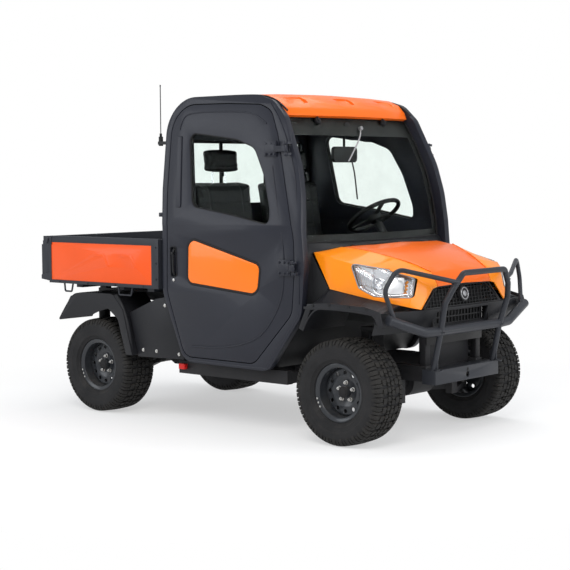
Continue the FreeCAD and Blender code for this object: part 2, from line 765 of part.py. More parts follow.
def knuckle_right():
    """Steering knuckle: upright on the kingpin line with the wheel spindle."""
    x = WHEELBASE
    low = ARM_LOW_Z + ARM_T / 2.0 + 1.0
    high = ARM_HIGH_Z - (ARM_T - 6.0) / 2.0 - 1.0
    upright = rod(V(x, -KINGPIN_Y, low), V(x, -KINGPIN_Y, high), KNUCKLE_R)
    stub = spindle(-KINGPIN_Y - 10.0, FRONT_HALF_TRACK)
    stub.translate(V(x, 0, 0))
    arm = box((x - 150.0, x), (-KINGPIN_Y - 2.0, -KINGPIN_Y + 24.0), (TYRE_R - 40.0, TYRE_R - 22.0))
    body = fuse_all([upright, stub, arm])
    for z_span in ((low - 10.0, low + 30.0), (high - 30.0, high + 10.0)):
        hole = rod(V(x, -KINGPIN_Y, z_span[0]), V(x, -KINGPIN_Y, z_span[1]), KINGPIN_R + PIN_FIT)
        body = body.cut(hole)
    return body


def rear_axle():
    """Dead axle tube with a spindle at each end, on two leaf springs."""
    right = spindle(-REAR_HALF_TRACK + 110.0, REAR_HALF_TRACK)
    beam = rod(V(0, -REAR_HALF_TRACK + 100.0, TYRE_R), V(0, REAR_HALF_TRACK - 100.0, TYRE_R), 38.0)
    parts = [fuse_all([beam, right, mirrored(right)])]
    for side in (-1.0, 1.0):
        y = side * 400.0
        y_span = (y - 26.0, y + 26.0)
        spring = [(-290.0, 326.0), (-150.0, 268.0), (0.0, 250.0), (150.0, 268.0), (290.0, 326.0)]
        parts.append(strip(spring, 22.0, y_span))
        parts.append(box((-40.0, 40.0), y_span, (262.0, 320.0)))
        rail_face = side * (RAIL_Y + RAIL_W / 2.0)
        for x in (-290.0, 290.0):
            eye = V(x, 0, 340.0)
            parts.append(rod(eye + V(0, y_span[0], 0), eye + V(0, y_span[1], 0), 20.0))
            hanger_top = 400.0 if x < 0 else 372.0
            parts.append(box((x - 14.0, x + 14.0), y_span, (eye.z, hanger_top)))
            parts.append(box((x - 14.0, x + 14.0), sorted((rail_face, side * 426.0)), (hanger_top - 14.0, hanger_top)))
    return members(parts)


def engine_block():
    """Engine under the front of the bed, with its muffler behind on the right."""
    rail_top = FLOOR_RAIL_Z
    block = fuse_all([
        box((345.0, 660.0), (-215.0, 215.0), (rail_top, 640.0)),
        box((380.0, 640.0), (-120.0, 120.0), (640.0, 718.0)),
        box((420.0, 520.0), (-285.0, 285.0), (rail_top, rail_top + 12.0)),
    ])
    rail_face = TOP_RAIL_Y - TOP_RAIL_W / 2.0
    muffler = fuse_all([
        rod(V(-270.0, -150.0, 596.0), V(120.0, -150.0, 596.0), 62.0),
        rod(V(-390.0, -150.0, 596.0), V(-260.0, -150.0, 596.0), 19.0),
        rod(V(110.0, -150.0, 596.0), V(344.7, -150.0, 596.0), 19.0),
        box((-120.0, -80.0), (-165.0, -135.0), (640.0, 745.0)),
        box((-120.0, -80.0), (-rail_face, rail_face), (738.0, 762.0)),
    ])
    return [block, muffler]


def driveline():
    """Transaxle at the rear, front differential and the shaft between them."""
    rail_face = RAIL_Y - RAIL_W / 2.0
    rear = [
        box((-110.0, 240.0), (-150.0, 150.0), (354.0, 520.0)),
        rod(V(60.0, -200.0, 440.0), V(60.0, 200.0, 440.0), 60.0),
        box((40.0, 80.0), (-rail_face, rail_face), (420.0, 450.0)),
    ]
    x = WHEELBASE
    pinion_x = x - 150.0
    front = [
        rod(V(x, -110.0, TYRE_R), V(x, 110.0, TYRE_R), 88.0),
        rod(V(x, -KINGPIN_Y + 60.0, TYRE_R), V(x, KINGPIN_Y - 60.0, TYRE_R), 16.0),
        box((pinion_x, x + 40.0), (-60.0, 60.0), (TYRE_R - 50.0, TYRE_R + 50.0)),
        box((x - 60.0, x + 60.0), (-rail_face, rail_face), (352.0, 382.0)),
        rod(V(240.0, 0, SHAFT_REAR_Z), V(pinion_x + 2.0, 0, SHAFT_FRONT_Z), SHAFT_R),
    ]
    for side in (-1.0, 1.0):
        front.append(Part.makeCone(42.0, 26.0, 90.0, V(x, side * 108.0, TYRE_R), V(0, side, 0)))
    return members(rear + front)


# ---------------------------------------------------------------- cab structure
def cab_frame_right():
    """Welded side loop of the cab round the door opening, with the frame halves of the hinges."""
    plate = side_layer(FRAME_EDGE, (0.0, FRAME_T))
    opening = side_layer(inset(DOOR_EDGE, -MOVE_GAP), (-2.0, FRAME_T + 2.0))
    loop = plate.cut(opening)
    pieces = [loop]
    line = HINGE_HIGH.sub(HINGE_LOW)
    line.normalize()
    for centre in (HINGE_LOW, HINGE_HIGH):
        surface_y = -SIDE_Y + lean_y(centre.z)
        pieces.append(rod(centre - line * HINGE_PIN_HALF, centre + line * HINGE_PIN_HALF, HINGE_PIN_R))
        for lift in (-HINGE_PIN_HALF + 2.0, HINGE_KNUCKLE_HALF + 4.0):
            low = centre + line * lift
            high = centre + line * (lift + 18.0)
            pieces.append(rod(low, high, HINGE_BARREL_R))
            y_span = (low.y - 6.0, surface_y + 8.0)
            pieces.append(box((low.x + 2.0, low.x + 22.0), y_span, (low.z + 1.0, low.z + 16.0)))
            pieces.append(box((low.x - 5.0, low.x + 4.0), (low.y, surface_y + 8.0), (low.z + 1.0, low.z + 16.0)))
    return fuse_all(pieces)


def door_hinge_leaf(centre):
    """The door's half of one hinge: a barrel and a strap that runs back over the door."""
    line = HINGE_HIGH.sub(HINGE_LOW)
    line.normalize()
    low = centre - line * HINGE_KNUCKLE_HALF
    high = centre + line * HINGE_KNUCKLE_HALF
    barrel = rod(low, high, HINGE_BARREL_R)
    door_x = x_at([row[:2] for row in DOOR_EDGE[4:9]], centre.z) - 14.0
    surface_y = -SIDE_Y + lean_y(centre.z)
    neck_z = (centre.z - 17.0, centre.z + 17.0)
    pad_z = (centre.z - 46.0, centre.z + 46.0)
    arm = box((centre.x - 26.0, centre.x - 4.0), (centre.y - 6.0, centre.y + 6.0), neck_z)
    neck = plan_prism([(centre.x - 20.0, centre.y - 6.0), (centre.x - 20.0, centre.y + 6.0),
                       (door_x - 20.0, surface_y - 8.0), (door_x - 20.0, surface_y - 16.0)], neck_z)
    strap = box((door_x - HINGE_PAD_L, door_x), (surface_y - 15.0, surface_y - 7.0), pad_z)
    foot = box((door_x - HINGE_PAD_L, door_x - 6.0), (surface_y - 8.0, surface_y + 10.0), neck_z)
    strap = strap.fuse(foot)
    leaf = fuse_all([barrel, arm, neck, strap])
    return leaf


def door_right():
    """Door shell: skin with a cut window, a recess for the coloured insert and a handle cup."""
    shell = side_layer(DOOR_EDGE, (0.0, DOOR_T))
    shell = shell.cut(side_layer(WINDOW_EDGE, (-2.0, DOOR_T + 6.0)))
    shell = shell.cut(side_layer(INSERT_EDGE, (-2.0, INSERT_RECESS)))
    shell = shell.cut(side_layer(HANDLE_EDGE, (-2.0, HANDLE_DEPTH)))
    # the handle: a pull bar that crosses the cup
    pull = box((748.0, 764.0), (-SIDE_Y + 6.0, -SIDE_Y + HANDLE_DEPTH + 4.0), (940.0, 1060.0))
    pieces = [shell, pull]
    hinges = [door_hinge_leaf(centre) for centre in (HINGE_LOW, HINGE_HIGH)]
    door = fuse_all(pieces + hinges)
    line = HINGE_HIGH.sub(HINGE_LOW)
    line.normalize()
    for centre in (HINGE_LOW, HINGE_HIGH):
        door = door.cut(rod(centre - line * 60.0, centre + line * 60.0, HINGE_PIN_R + PIN_FIT))
    return door


def door_glass_right():
    return side_layer(inset(WINDOW_EDGE, SEAT_GAP), (DOOR_GLASS_DEPTH, DOOR_GLASS_DEPTH + GLASS_T))


def door_insert_right():
    return side_layer(inset(INSERT_EDGE, INSERT_RIM), (INSERT_RECESS - INSERT_T, INSERT_RECESS))


def cab_crossbars():
    """Front header, and the cowl bar with the two arms and pins that carry the hood."""
    header_y = inner_half(HEADER_Z[1]) - SEAT_GAP
    cowl_y = SIDE_Y - FRAME_T
    bar = [box(COWL_BAR_X, (-cowl_y, cowl_y), COWL_BAR_Z)]
    for side in (-1.0, 1.0):
        arm_y = sorted((side * HOOD_HINGE_Y, side * (HOOD_HINGE_Y + 8.0)))
        low_z = COWL_BAR_Z[0] + 4.0
        bar.append(side_prism([(COWL_BAR_X[1] - 4.0, low_z), (LID_AXIS_X + 7.0, low_z),
                               (LID_AXIS_X + 7.0, LID_AXIS_Z + 6.0), (LID_AXIS_X - 7.0, LID_AXIS_Z + 6.0),
                               (LID_AXIS_X - 7.0, low_z + 14.0), (COWL_BAR_X[1] - 4.0, low_z + 14.0)], arm_y))
        bar.append(rod(V(LID_AXIS_X, side * (HOOD_HINGE_Y - 22.0), LID_AXIS_Z),
                       V(LID_AXIS_X, side * (HOOD_HINGE_Y + 4.0), LID_AXIS_Z), HOOD_PIN_R))
    return [box(HEADER_X, (-header_y, header_y), HEADER_Z), fuse_all(bar)]


def wall_line():
    return [(FLOOR_BACK_X, FLOOR_Z), (WALL_X, WALL_BEND_Z), (WALL_X, WALL_TOP_Z)]


def pan_line():
    """Outer face of the floor, toe board and firewall, from back to front."""
    back_x = offset_line(wall_line(), -WALL_T)[0][0] + 2.0 * SEAT_GAP
    return [(back_x, FLOOR_Z), (1496.0, FLOOR_Z), (1742.0, 738.0), (1752.0, 1086.0)]


def floor_pan():
    """Floor, sloped toe board and firewall in one folded sheet, with two pedals on the toe board."""
    half_y = SIDE_Y - FRAME_T
    pieces = [strip(pan_line(), PAN_T, (-half_y, half_y))]
    for y in (290.0, 400.0):
        foot = V(x_at(offset_line(pan_line(), PAN_T), 610.0) + 6.0, y, 600.0)
        pieces.append(rod(foot, foot + V(-66.0, 0, 20.0), 8.0))
        pieces.append(box((foot.x - 78.0, foot.x - 60.0), (y - 34.0, y + 34.0), (foot.z - 22.0, foot.z + 62.0)))
    return [fuse_all(pieces)]


def rear_panel():
    """Back wall of the cab: it follows the side loops' rear edge and holds the rear window."""
    half_y = SIDE_Y - FRAME_T
    wall = strip(wall_line(), -WALL_T, (-half_y, half_y))
    top_half = inner_half(WALL_TOP_Z) - SEAT_GAP
    belt_half = inner_half(BELT_Z + 0.1) - SEAT_GAP
    keep = front_prism([(-half_y, 300.0), (half_y, 300.0), (half_y, BELT_Z - 4.0), (belt_half, BELT_Z),
                        (top_half, WALL_TOP_Z), (-top_half, WALL_TOP_Z), (-belt_half, BELT_Z),
                        (-half_y, BELT_Z - 4.0)], (500.0, 1000.0))
    wall = wall.common(keep)
    window = front_prism(REAR_WINDOW, (WALL_X - 5.0, WALL_X + WALL_T + 5.0), 30.0)
    return [wall.cut(window)]


REAR_WINDOW = [(-628.0, 1350.0), (628.0, 1350.0), (580.0, 1768.0), (-580.0, 1768.0)]


def rear_window():
    """Sliding rear window: fixed outer panes and a centre pane in one frame."""
    g = SEAT_GAP
    rows = [(-628.0 + g, 1350.0 + g), (628.0 - g, 1350.0 + g), (580.0 - g, 1768.0 - g), (-580.0 + g, 1768.0 - g)]
    middle = WALL_X + WALL_T / 2.0
    return [front_prism(rows, (middle - 3.0, middle + 3.0), 30.0)]


def roof():
    """Roof shell between the side loops, with a bowed visor and three air slots in it."""
    shares = (-1.0, -0.62, 0.0, 0.62, 1.0)
    wires = []
    for share in shares:
        crown = share * share
        top = [V(x - back * crown, share * ROOF_HALF_W, z - drop * crown) for x, z, drop, back in ROOF_ROWS]
        line = [(point.x, point.z) for point in top]
        under = offset_line(line, ROOF_T)[::-1]
        wires.append(polygon(top + [V(x, share * ROOF_HALF_W, z) for x, z in under]))
    shell = loft(wires)
    for y in ROOF_SLOT_Y:
        setback = 30.0 * (y / ROOF_HALF_W) ** 2
        centre = V(1540.0 - setback, y, 1985.0)
        slot = box((-60.0, 12.0), (-ROOF_SLOT_L / 2.0, ROOF_SLOT_L / 2.0), (-ROOF_SLOT_W / 2.0, ROOF_SLOT_W / 2.0))
        slot.rotate(V(0, 0, 0), ALONG_Y, 30.0)
        slot.translate(centre)
        shell = shell.cut(slot)
    return [shell]


def windshield():
    """Bowed windshield lofted through arcs that follow the side loops' front edge."""
    wires = []
    for z, edge_x, middle_x in SCREEN_ROWS:
        half_w = inner_half(z) - SEAT_GAP
        front = Part.Arc(V(edge_x, -half_w, z), V(middle_x, 0, z), V(edge_x, half_w, z)).toShape()
        back = Part.Arc(V(edge_x - SCREEN_T, half_w, z), V(middle_x - SCREEN_T, 0, z),
                        V(edge_x - SCREEN_T, -half_w, z)).toShape()
        ends = [Part.LineSegment(V(edge_x, half_w, z), V(edge_x - SCREEN_T, half_w, z)).toShape(),
                Part.LineSegment(V(edge_x - SCREEN_T, -half_w, z), V(edge_x, -half_w, z)).toShape()]
        wires.append(Part.Wire([front, ends[0], back, ends[1]]))
    return [loft(wires)]


def dashboard():
    """Dashboard with a raised hood in front of the driver."""
    firewall = offset_line(pan_line(), PAN_T)
    low_z = 900.0
    top_z = COWL_BAR_Z[0] - SEAT_GAP
    bar_x = COWL_BAR_X[0] - SEAT_GAP
    edge = [(1560.0, low_z, 20.0), (x_at(firewall, low_z) - SEAT_GAP, low_z),
            (x_at(firewall, firewall[-1][1]) - SEAT_GAP, firewall[-1][1]), (x_at(firewall, low_z), top_z),
            (bar_x, top_z), (bar_x, COWL_BAR_Z[1], 8.0), (1640.0, 1140.0, 20.0), (1560.0, 1085.0, 30.0)]
    main = side_prism(edge, (-640.0, 640.0))
    hood = side_prism([(1570.0, 1060.0), (1690.0, 1100.0), (1685.0, 1150.0, 20.0), (1600.0, 1175.0, 20.0)],
                      (WHEEL_CENTRE.y - 170.0, WHEEL_CENTRE.y + 170.0))
    tray = box((1552.0, 1620.0), (-560.0, -120.0), (985.0, 1050.0))
    return [fuse_all([main, hood]).cut(tray)]


def column_axis():
    tilt = math.radians(COLUMN_TILT)
    return V(-math.cos(tilt), 0, math.sin(tilt))


def steering_column():
    """Column tube from the dashboard up to just under the wheel."""
    axis = column_axis()
    top = WHEEL_CENTRE - axis * 62.0
    foot = WHEEL_CENTRE - axis * 250.0
    body = rod(foot, top, COLUMN_R).cut(dashboard()[0])
    return max(body.Solids, key=lambda solid: solid.CenterOfMass.z).cut(
        rod(top - axis * 60.0, top + axis * 10.0, COLUMN_SHAFT_R + PIN_FIT))


def steering_wheel():
    """Ring, three spokes, hub and shaft, drawn level and then tilted to the column."""
    ring = Part.makeTorus(WHEEL_RING_R, WHEEL_TUBE_R, V(0, 0, 0), UP)
    hub = Part.makeCylinder(44.0, 36.0, V(0, 0, -40.0))
    shaft = Part.makeCylinder(COLUMN_SHAFT_R, 90.0, V(0, 0, -118.0))
    pieces = [ring, hub, shaft]
    for angle in (90.0, 210.0, 330.0):
        spoke = Part.makeBox(WHEEL_RING_R - 20.0, 30.0, 9.0, V(20.0, -15.0, -14.0))
        spoke.rotate(V(0, 0, 0), UP, angle)
        pieces.append(spoke)
    wheel = fuse_all(pieces)
    wheel.rotate(V(0, 0, 0), ALONG_Y, -(90.0 - COLUMN_TILT))
    wheel.translate(WHEEL_CENTRE)
    return wheel


def seat_base():
    foot_z = FLOOR_Z + PAN_T + SEAT_GAP
    edge = [(888.0, foot_z), (1120.0, foot_z), (1140.0, SEAT_BASE_Z, 20.0), (722.0, SEAT_BASE_Z)]
    return [side_prism(edge, (-640.0, 640.0))]


def seat_pads():
    """Two cushions and two backs as plain closed solids."""
    pads = []
    for side in (-1.0, 1.0):
        y_span = (side * SEAT_Y - SEAT_W / 2.0, side * SEAT_Y + SEAT_W / 2.0)
        low_z = SEAT_BASE_Z + SEAT_GAP
        rear_z = SEAT_TOP_Z - CUSHION_RISE
        cushion = side_prism([(745.0, low_z, 20.0), (CUSHION_X[1] - 20.0, low_z, 30.0), (CUSHION_X[1], SEAT_TOP_Z, 50.0),
                              (CUSHION_X[0], rear_z, 20.0)], y_span)
        lift = CUSHION_RISE * BACK_T / (CUSHION_X[1] - CUSHION_X[0])
        back = side_prism([(CUSHION_X[0], rear_z + SEAT_GAP), (CUSHION_X[0] + BACK_T, rear_z + lift + SEAT_GAP, 12.0),
                           (708.0 + BACK_T, 1500.0, 50.0), (WALL_X + WALL_T + SEAT_GAP, 1500.0, 20.0)], (y_span[0] + 20.0, y_span[1] - 20.0))
        pads += [cushion, back]
    return pads


def headrests():
    """Two headrests, each on a pair of posts."""
    made = []
    for side in (-1.0, 1.0):
        y = side * SEAT_Y
        pad = side_prism([(752.0, HEADREST_Z[0], 24.0), (842.0, HEADREST_Z[0], 30.0), (828.0, HEADREST_Z[1], 34.0),
                          (742.0, HEADREST_Z[1], 24.0)], (y - HEADREST_W / 2.0, y + HEADREST_W / 2.0))
        posts = [rod(V(774.0, y + shift, 1500.0 + SEAT_GAP), V(774.0, y + shift, 1590.0), 7.0) for shift in (-60.0, 60.0)]
        made.append(fuse_all([pad] + posts))
    return made


def interior_mirror():
    pad = front_prism([(-100.0, 1622.0), (132.0, 1622.0), (132.0, 1720.0), (-100.0, 1720.0)], (1498.0, 1522.0), 28.0)
    stalk = rod(V(1508.0, 16.0, 1700.0), V(1508.0, 16.0, HEADER_Z[0] - SEAT_GAP), 8.0)
    return [fuse_all([pad, stalk])]


# ---------------------------------------------------------------- nose, fenders and guard
def nose_section(row, shrink, x_shift=0.0):
    """Closed cross-section of the nose at one station, both halves."""
    x, crease_y, crease_z, middle_z, shoulder_y, shoulder_z, bottom_y, bottom_z = row
    x = x + x_shift
    low = bottom_z - (60.0 if shrink else 0.0)
    half = [
        V(x, bottom_y - shrink, low),
        V(x, bottom_y - shrink, bottom_z),
        V(x, shoulder_y - shrink, shoulder_z - shrink),
        V(x, crease_y - shrink * 0.5, crease_z - shrink),
    ]
    if not shrink:
        half = half[1:]
    other = [V(point.x, -point.y, point.z) for point in half[::-1]]
    return polygon(half + [V(x, 0, middle_z - shrink)] + other)


def nose_block():
    return loft([nose_section(row, 0.0) for row in NOSE_ROWS])


def nose_core(thickness):
    """The space inside the nose skin, open at the back, the front and below."""
    first = list(NOSE_ROWS[0])
    last = list(NOSE_ROWS[-1])
    wires = [nose_section(first, thickness, -30.0)]
    for index, row in enumerate(NOSE_ROWS):
        x_shift = -thickness * 0.8 if index >= len(NOSE_ROWS) - 2 else 0.0
        wires.append(nose_section(row, thickness, x_shift))
    wires.append(nose_section(last, thickness, 40.0))
    return loft(wires)


def behind_cowl(shift):
    """Everything behind the nose's rear edge, with the edge moved forward by a distance."""
    edge = [(x + shift, -y) for x, y in COWL_LINE] + [(x + shift, y) for x, y in COWL_LINE[-2::-1]]
    plan = [(1500.0, -900.0), (edge[0][0], -900.0)] + edge + [(edge[-1][0], 900.0), (1500.0, 900.0)]
    return plan_prism(plan, (500.0, 1400.0))


def below_side_edge():
    """Everything behind the slanted rear edge of the side covers."""
    x0, z0 = NOSE_REAR_BOTTOM
    x1, z1 = NOSE_REAR_TOP
    return side_prism([(1500.0, 500.0), (x0 + 3.0, 500.0), (x0 + 3.0, z0), (x1 + 3.0, z1), (x1 + 3.0, 1400.0),
                       (1500.0, 1400.0)], (-900.0, 900.0))


def lid_region(gap):
    """Plan region between the creases, widened or narrowed by a gap."""
    rows = [(row[0], row[1]) for row in NOSE_ROWS]
    rows = [(1700.0, rows[0][1] + 14.0)] + rows + [(2500.0, rows[-1][1] - 8.0)]
    plan = [(x, y + gap) for x, y in rows] + [(x, -y - gap) for x, y in rows[::-1]]
    return plan_prism(plan, (780.0, 1300.0))


def nose_skin():
    return nose_block().cut(nose_core(NOSE_SKIN))


def hood():
    """Hood lid between the two creases."""
    lid = nose_skin().common(lid_region(-LID_GAP / 2.0))
    parts = [lid.cut(behind_cowl(COWL_GAP))]
    for side in (-1.0, 1.0):
        y_span = sorted((side * (HOOD_HINGE_Y - 6.0), side * (HOOD_HINGE_Y - 20.0)))
        arm = side_prism([(LID_AXIS_X - 2.0, LID_AXIS_Z - 9.0), (LID_AXIS_X + 84.0, LID_AXIS_Z - 9.0),
                          (LID_AXIS_X + 84.0, 1130.0), (LID_AXIS_X + 46.0, 1130.0),
                          (LID_AXIS_X + 26.0, LID_AXIS_Z + 7.0), (LID_AXIS_X - 2.0, LID_AXIS_Z + 7.0)], y_span)
        barrel = rod(V(LID_AXIS_X, y_span[0], LID_AXIS_Z), V(LID_AXIS_X, y_span[1], LID_AXIS_Z), 8.0)
        parts += [arm.fuse(barrel).cut(nose_block_above())]
    lid = fuse_all(parts)
    pin = rod(V(LID_AXIS_X, -600.0, LID_AXIS_Z), V(LID_AXIS_X, 600.0, LID_AXIS_Z), HOOD_PIN_R + PIN_FIT)
    return [lid.cut(pin)]


def nose_block_above():
    """The space above the nose, used to trim what must stay under its skin."""
    return box((1700.0, 2500.0), (-700.0, 700.0), (600.0, 1400.0)).cut(nose_block())


def nose_covers():
    """Side covers with a headlight opening each."""
    skin = nose_skin().cut(lid_region(LID_GAP / 2.0))
    skin = skin.cut(behind_cowl(1.0)).cut(below_side_edge())
    opening = side_prism(inset(LAMP_EDGE, -1.0), (-900.0, 900.0))
    skin = skin.cut(opening)
    return [solid for solid in skin.Solids if solid.Volume > 1000.0]


def headlights():
    body = nose_block().cut(nose_core(LAMP_DEPTH))
    body = body.cut(box((2000.0, 2500.0), (-LAMP_INNER_Y, LAMP_INNER_Y), (600.0, 1300.0)))
    body = body.common(side_prism(inset(LAMP_EDGE, -0.7), (-900.0, 900.0)))
    return [solid for solid in body.Solids if solid.Volume > 1000.0]


def cowl():
    """Black cowl between windshield and hood, with the side walls ahead of the doors."""
    wires = []
    half_w = SIDE_Y - FRAME_T - 1.0
    stations = [(half_w, 1736.0, 1789.0, 1098.0)]
    for x, y in COWL_LINE:
        share = 1.0 - (y / half_w) ** 2
        glass_x = 1736.0 + (1850.0 - 1736.0) * share
        drop = 1100.0 + (1143.0 - 1100.0) * min(1.0, 1.15 * share)
        stations.append((y, glass_x, x - LID_GAP, drop))
    for y, glass_x, edge_x, edge_z in stations + stations[-2::-1]:
        side = y if len(wires) < len(stations) else -y
        top = [V(glass_x - 34.0, side, 1149.7), V(glass_x + 12.0, side, 1149.7), V(edge_x, side, edge_z)]
        low = [V(edge_x, side, edge_z - 12.0), V(glass_x + 8.0, side, 1137.0), V(glass_x - 34.0, side, 1137.0)]
        wires.append(polygon(top + low))
    shelf = loft(wires)
    # pockets for the hood's hinge arms
    for side in (-1.0, 1.0):
        y_span = sorted((side * (HOOD_HINGE_Y - 26.0), side * (HOOD_HINGE_Y + 14.0)))
        shelf = shelf.cut(box((LID_AXIS_X - 18.0, LID_AXIS_X + 40.0), y_span, (1060.0, 1170.0)))
    wall = side_prism([(1756.0, 690.0), (1812.0, 690.0), (1846.0, 800.0), (1921.0, 896.0), (1790.0, 1092.0),
                       (1756.0, 1096.0)], (-650.0, -640.0))
    filler = box((1756.0, 1796.0), (-half_w, -640.0), (690.0, 1096.0))
    return [shelf, wall.fuse(filler).removeSplitter(), mirrored(wall.fuse(filler).removeSplitter())]


def front_fenders():
    """Front skin: a fender on each side with its inner liner, joined by the bumper skin."""
    lip = strip(FENDER_LIP, FENDER_T, (-FENDER_Y, -LINER_Y))
    apron = strip(FENDER_LIP, 34.0, (-FENDER_Y, -FENDER_Y + 8.0))
    shelf_wires = []
    rows = [(1812.0, 792.0, 652.0, 800.0)]
    for row, lip_z in zip(NOSE_ROWS[1:5], (794.0, 795.0, 790.0, 780.0)):
        rows.append((row[0], lip_z, row[6], row[7] - SEAT_GAP))
    rows.append((2340.0, 768.0, 543.0, 811.0 - SEAT_GAP))
    for x, lip_z, top_y, top_z in rows:
        shelf_wires.append(polygon([V(x, -FENDER_Y, lip_z), V(x, -top_y, top_z), V(x, -top_y, top_z - 10.0),
                                    V(x, -FENDER_Y, lip_z - 14.0)]))
    shelf = loft(shelf_wires)
    side = fuse_all([lip, apron, shelf])
    outer_top = [(x, -y) for x, y in BUMPER_PLAN] + [(x, y) for x, y in BUMPER_PLAN[-2::-1]]
    wires = []
    for z, tuck in ((BUMPER_LOW_Z, BUMPER_TUCK), (BUMPER_TOP_Z, 0.0)):
        front = [V(x - tuck, y, z) for x, y in outer_top]
        back = [V(x - tuck - BUMPER_T - 2.0, y * 0.985, z) for x, y in outer_top[::-1]]
        wires.append(polygon(front + back))
    skin = loft(wires)
    deck_edge = [(2330.0, -745.0), (2330.0, 745.0)] + [(x - 4.0, y) for x, y in outer_top[::-1]]
    deck = plan_prism(deck_edge, (BUMPER_TOP_Z - 8.0, BUMPER_TOP_Z))
    mouth = box((2300.0, 2500.0), (-LOWER_GRILLE_Y, LOWER_GRILLE_Y), LOWER_GRILLE_Z)
    return [fuse_all([side, mirrored(side), skin.cut(mouth), deck])]


def grille():
    """Upper grille: a trapezoid frame with close slats, rails and a plain round boss."""
    head_x, head_z, head_y = GRILLE_HEAD
    foot_x, foot_z, foot_y = GRILLE_FOOT
    lean = math.degrees(math.atan2(foot_x - head_x, head_z - foot_z))
    height = math.hypot(foot_x - head_x, head_z - foot_z)
    outline = [(-foot_y, 0.0), (foot_y, 0.0), (head_y, height), (-head_y, height)]
    field = front_prism(outline, (-GRILLE_T, 0.0))
    rim = field.cut(front_prism([(y * 0.955, 7.0 if z == 0.0 else z - 7.0) for y, z in outline], (-20.0, 20.0)))
    bars = []
    pitch = 2.0 * foot_y / (GRILLE_SLATS + 1)
    for index in range(GRILLE_SLATS):
        y = -foot_y + pitch * (index + 1)
        bars.append(box((-GRILLE_T, 0.0), (y - GRILLE_SLAT_T / 2.0, y + GRILLE_SLAT_T / 2.0), (0.0, height)))
    for index in range(GRILLE_RAILS):
        z = height * (index + 1) / (GRILLE_RAILS + 1)
        bars.append(box((-GRILLE_T + 2.0, -2.0), (-foot_y, foot_y), (z - 1.6, z + 1.6)))
    boss = Part.makeCylinder(BADGE_R, GRILLE_T + 8.0, V(-GRILLE_T, 0, height * 0.55), ALONG_X)
    net = fuse_all(bars).common(field)
    upper = fuse_all([rim, net, boss])
    upper.rotate(V(0, 0, 0), ALONG_Y, -lean)
    upper.translate(V(foot_x, 0, foot_z))
    return [upper]


def lower_grille():
    """Slats in the bumper's mouth."""
    z0, z1 = LOWER_GRILLE_Z
    bars = []
    pitch = 2.0 * LOWER_GRILLE_Y / (LOWER_SLATS + 1)
    for index in range(LOWER_SLATS):
        y = -LOWER_GRILLE_Y + pitch * (index + 1)
        bars.append(box((2366.0, 2374.0), (y - 4.0, y + 4.0), (z0 + 2.0, z1 - 2.0)))
    for z in (z0 + SEAT_GAP, (z0 + z1) / 2.0 - 4.0, z1 - 8.0 - SEAT_GAP):
        bars.append(box((2366.0, 2374.0), (-LOWER_GRILLE_Y + SEAT_GAP, LOWER_GRILLE_Y - SEAT_GAP), (z, z + 8.0)))
    return fuse_all(bars)


def radiator():
    """Radiator core and shroud, standing on the front cross member."""
    foot_z = CROSS_ROWS[4][2]
    core = box((2262.0, 2299.4), (-215.0, 215.0), (foot_z, 860.0))
    shroud = box((2252.0, 2262.0), (-225.0, 225.0), (foot_z, 870.0))
    return [fuse_all([core, shroud])]


def guard_tubes():
    """Main hoop, two uprights with the top bar, and the two lamp loops."""
    main = tube([V(2390.0, -705.0, 742.0), V(2443.0, -435.0, 655.0), V(2452.0, -330.0, 652.0),
                 V(2452.0, 330.0, 652.0), V(2443.0, 435.0, 655.0), V(2390.0, 705.0, 742.0)], GUARD_MAIN_R, 60.0)
    frame = tube([V(2410.0, -307.0, 410.0), V(2462.0, -307.0, 648.0), V(2506.0, -327.0, 814.0), V(2534.0, -287.0, 898.0),
                  V(2556.0, -215.0, 985.0), V(2556.0, 215.0, 985.0), V(2534.0, 287.0, 898.0), V(2506.0, 327.0, 814.0),
                  V(2462.0, 307.0, 648.0), V(2410.0, 307.0, 410.0)], GUARD_UPRIGHT_R, 40.0)
    loop = tube([V(2394.0, -658.0, 744.0), V(2357.0, -700.0, 902.0), V(2385.0, -618.0, 1022.0),
                 V(2520.0, -340.0, 952.0), V(2544.0, -262.0, 934.0)], GUARD_LOOP_R, 70.0)
    return [main, frame, loop, mirrored(loop)]


def front_guard():
    """Tube guard welded on a hollow beam with a tow eye hole."""
    beam = box(BEAM_X, (-BEAM_HALF_Y, BEAM_HALF_Y), BEAM_Z)
    hollow = box((BEAM_X[0] - 5.0, BEAM_X[1] - BEAM_WALL), (-BEAM_HALF_Y + BEAM_WALL, BEAM_HALF_Y - BEAM_WALL),
                 (BEAM_Z[0] + BEAM_WALL, BEAM_Z[1] - BEAM_WALL))
    beam = beam.cut(hollow)
    lugs = [box((2340.0, 2420.0), (side * RAIL_Y - 20.0, side * RAIL_Y + 20.0), (360.0, 385.0)) for side in (-1, 1)]
    hole_z = sum(BEAM_Z) / 2.0 - 10.0
    guard = fuse_all([beam] + guard_tubes())
    guard = guard.cut(rod(V(2400.0, 0, hole_z), V(2500.0, 0, hole_z), BEAM_HOLE_R))
    return [guard]


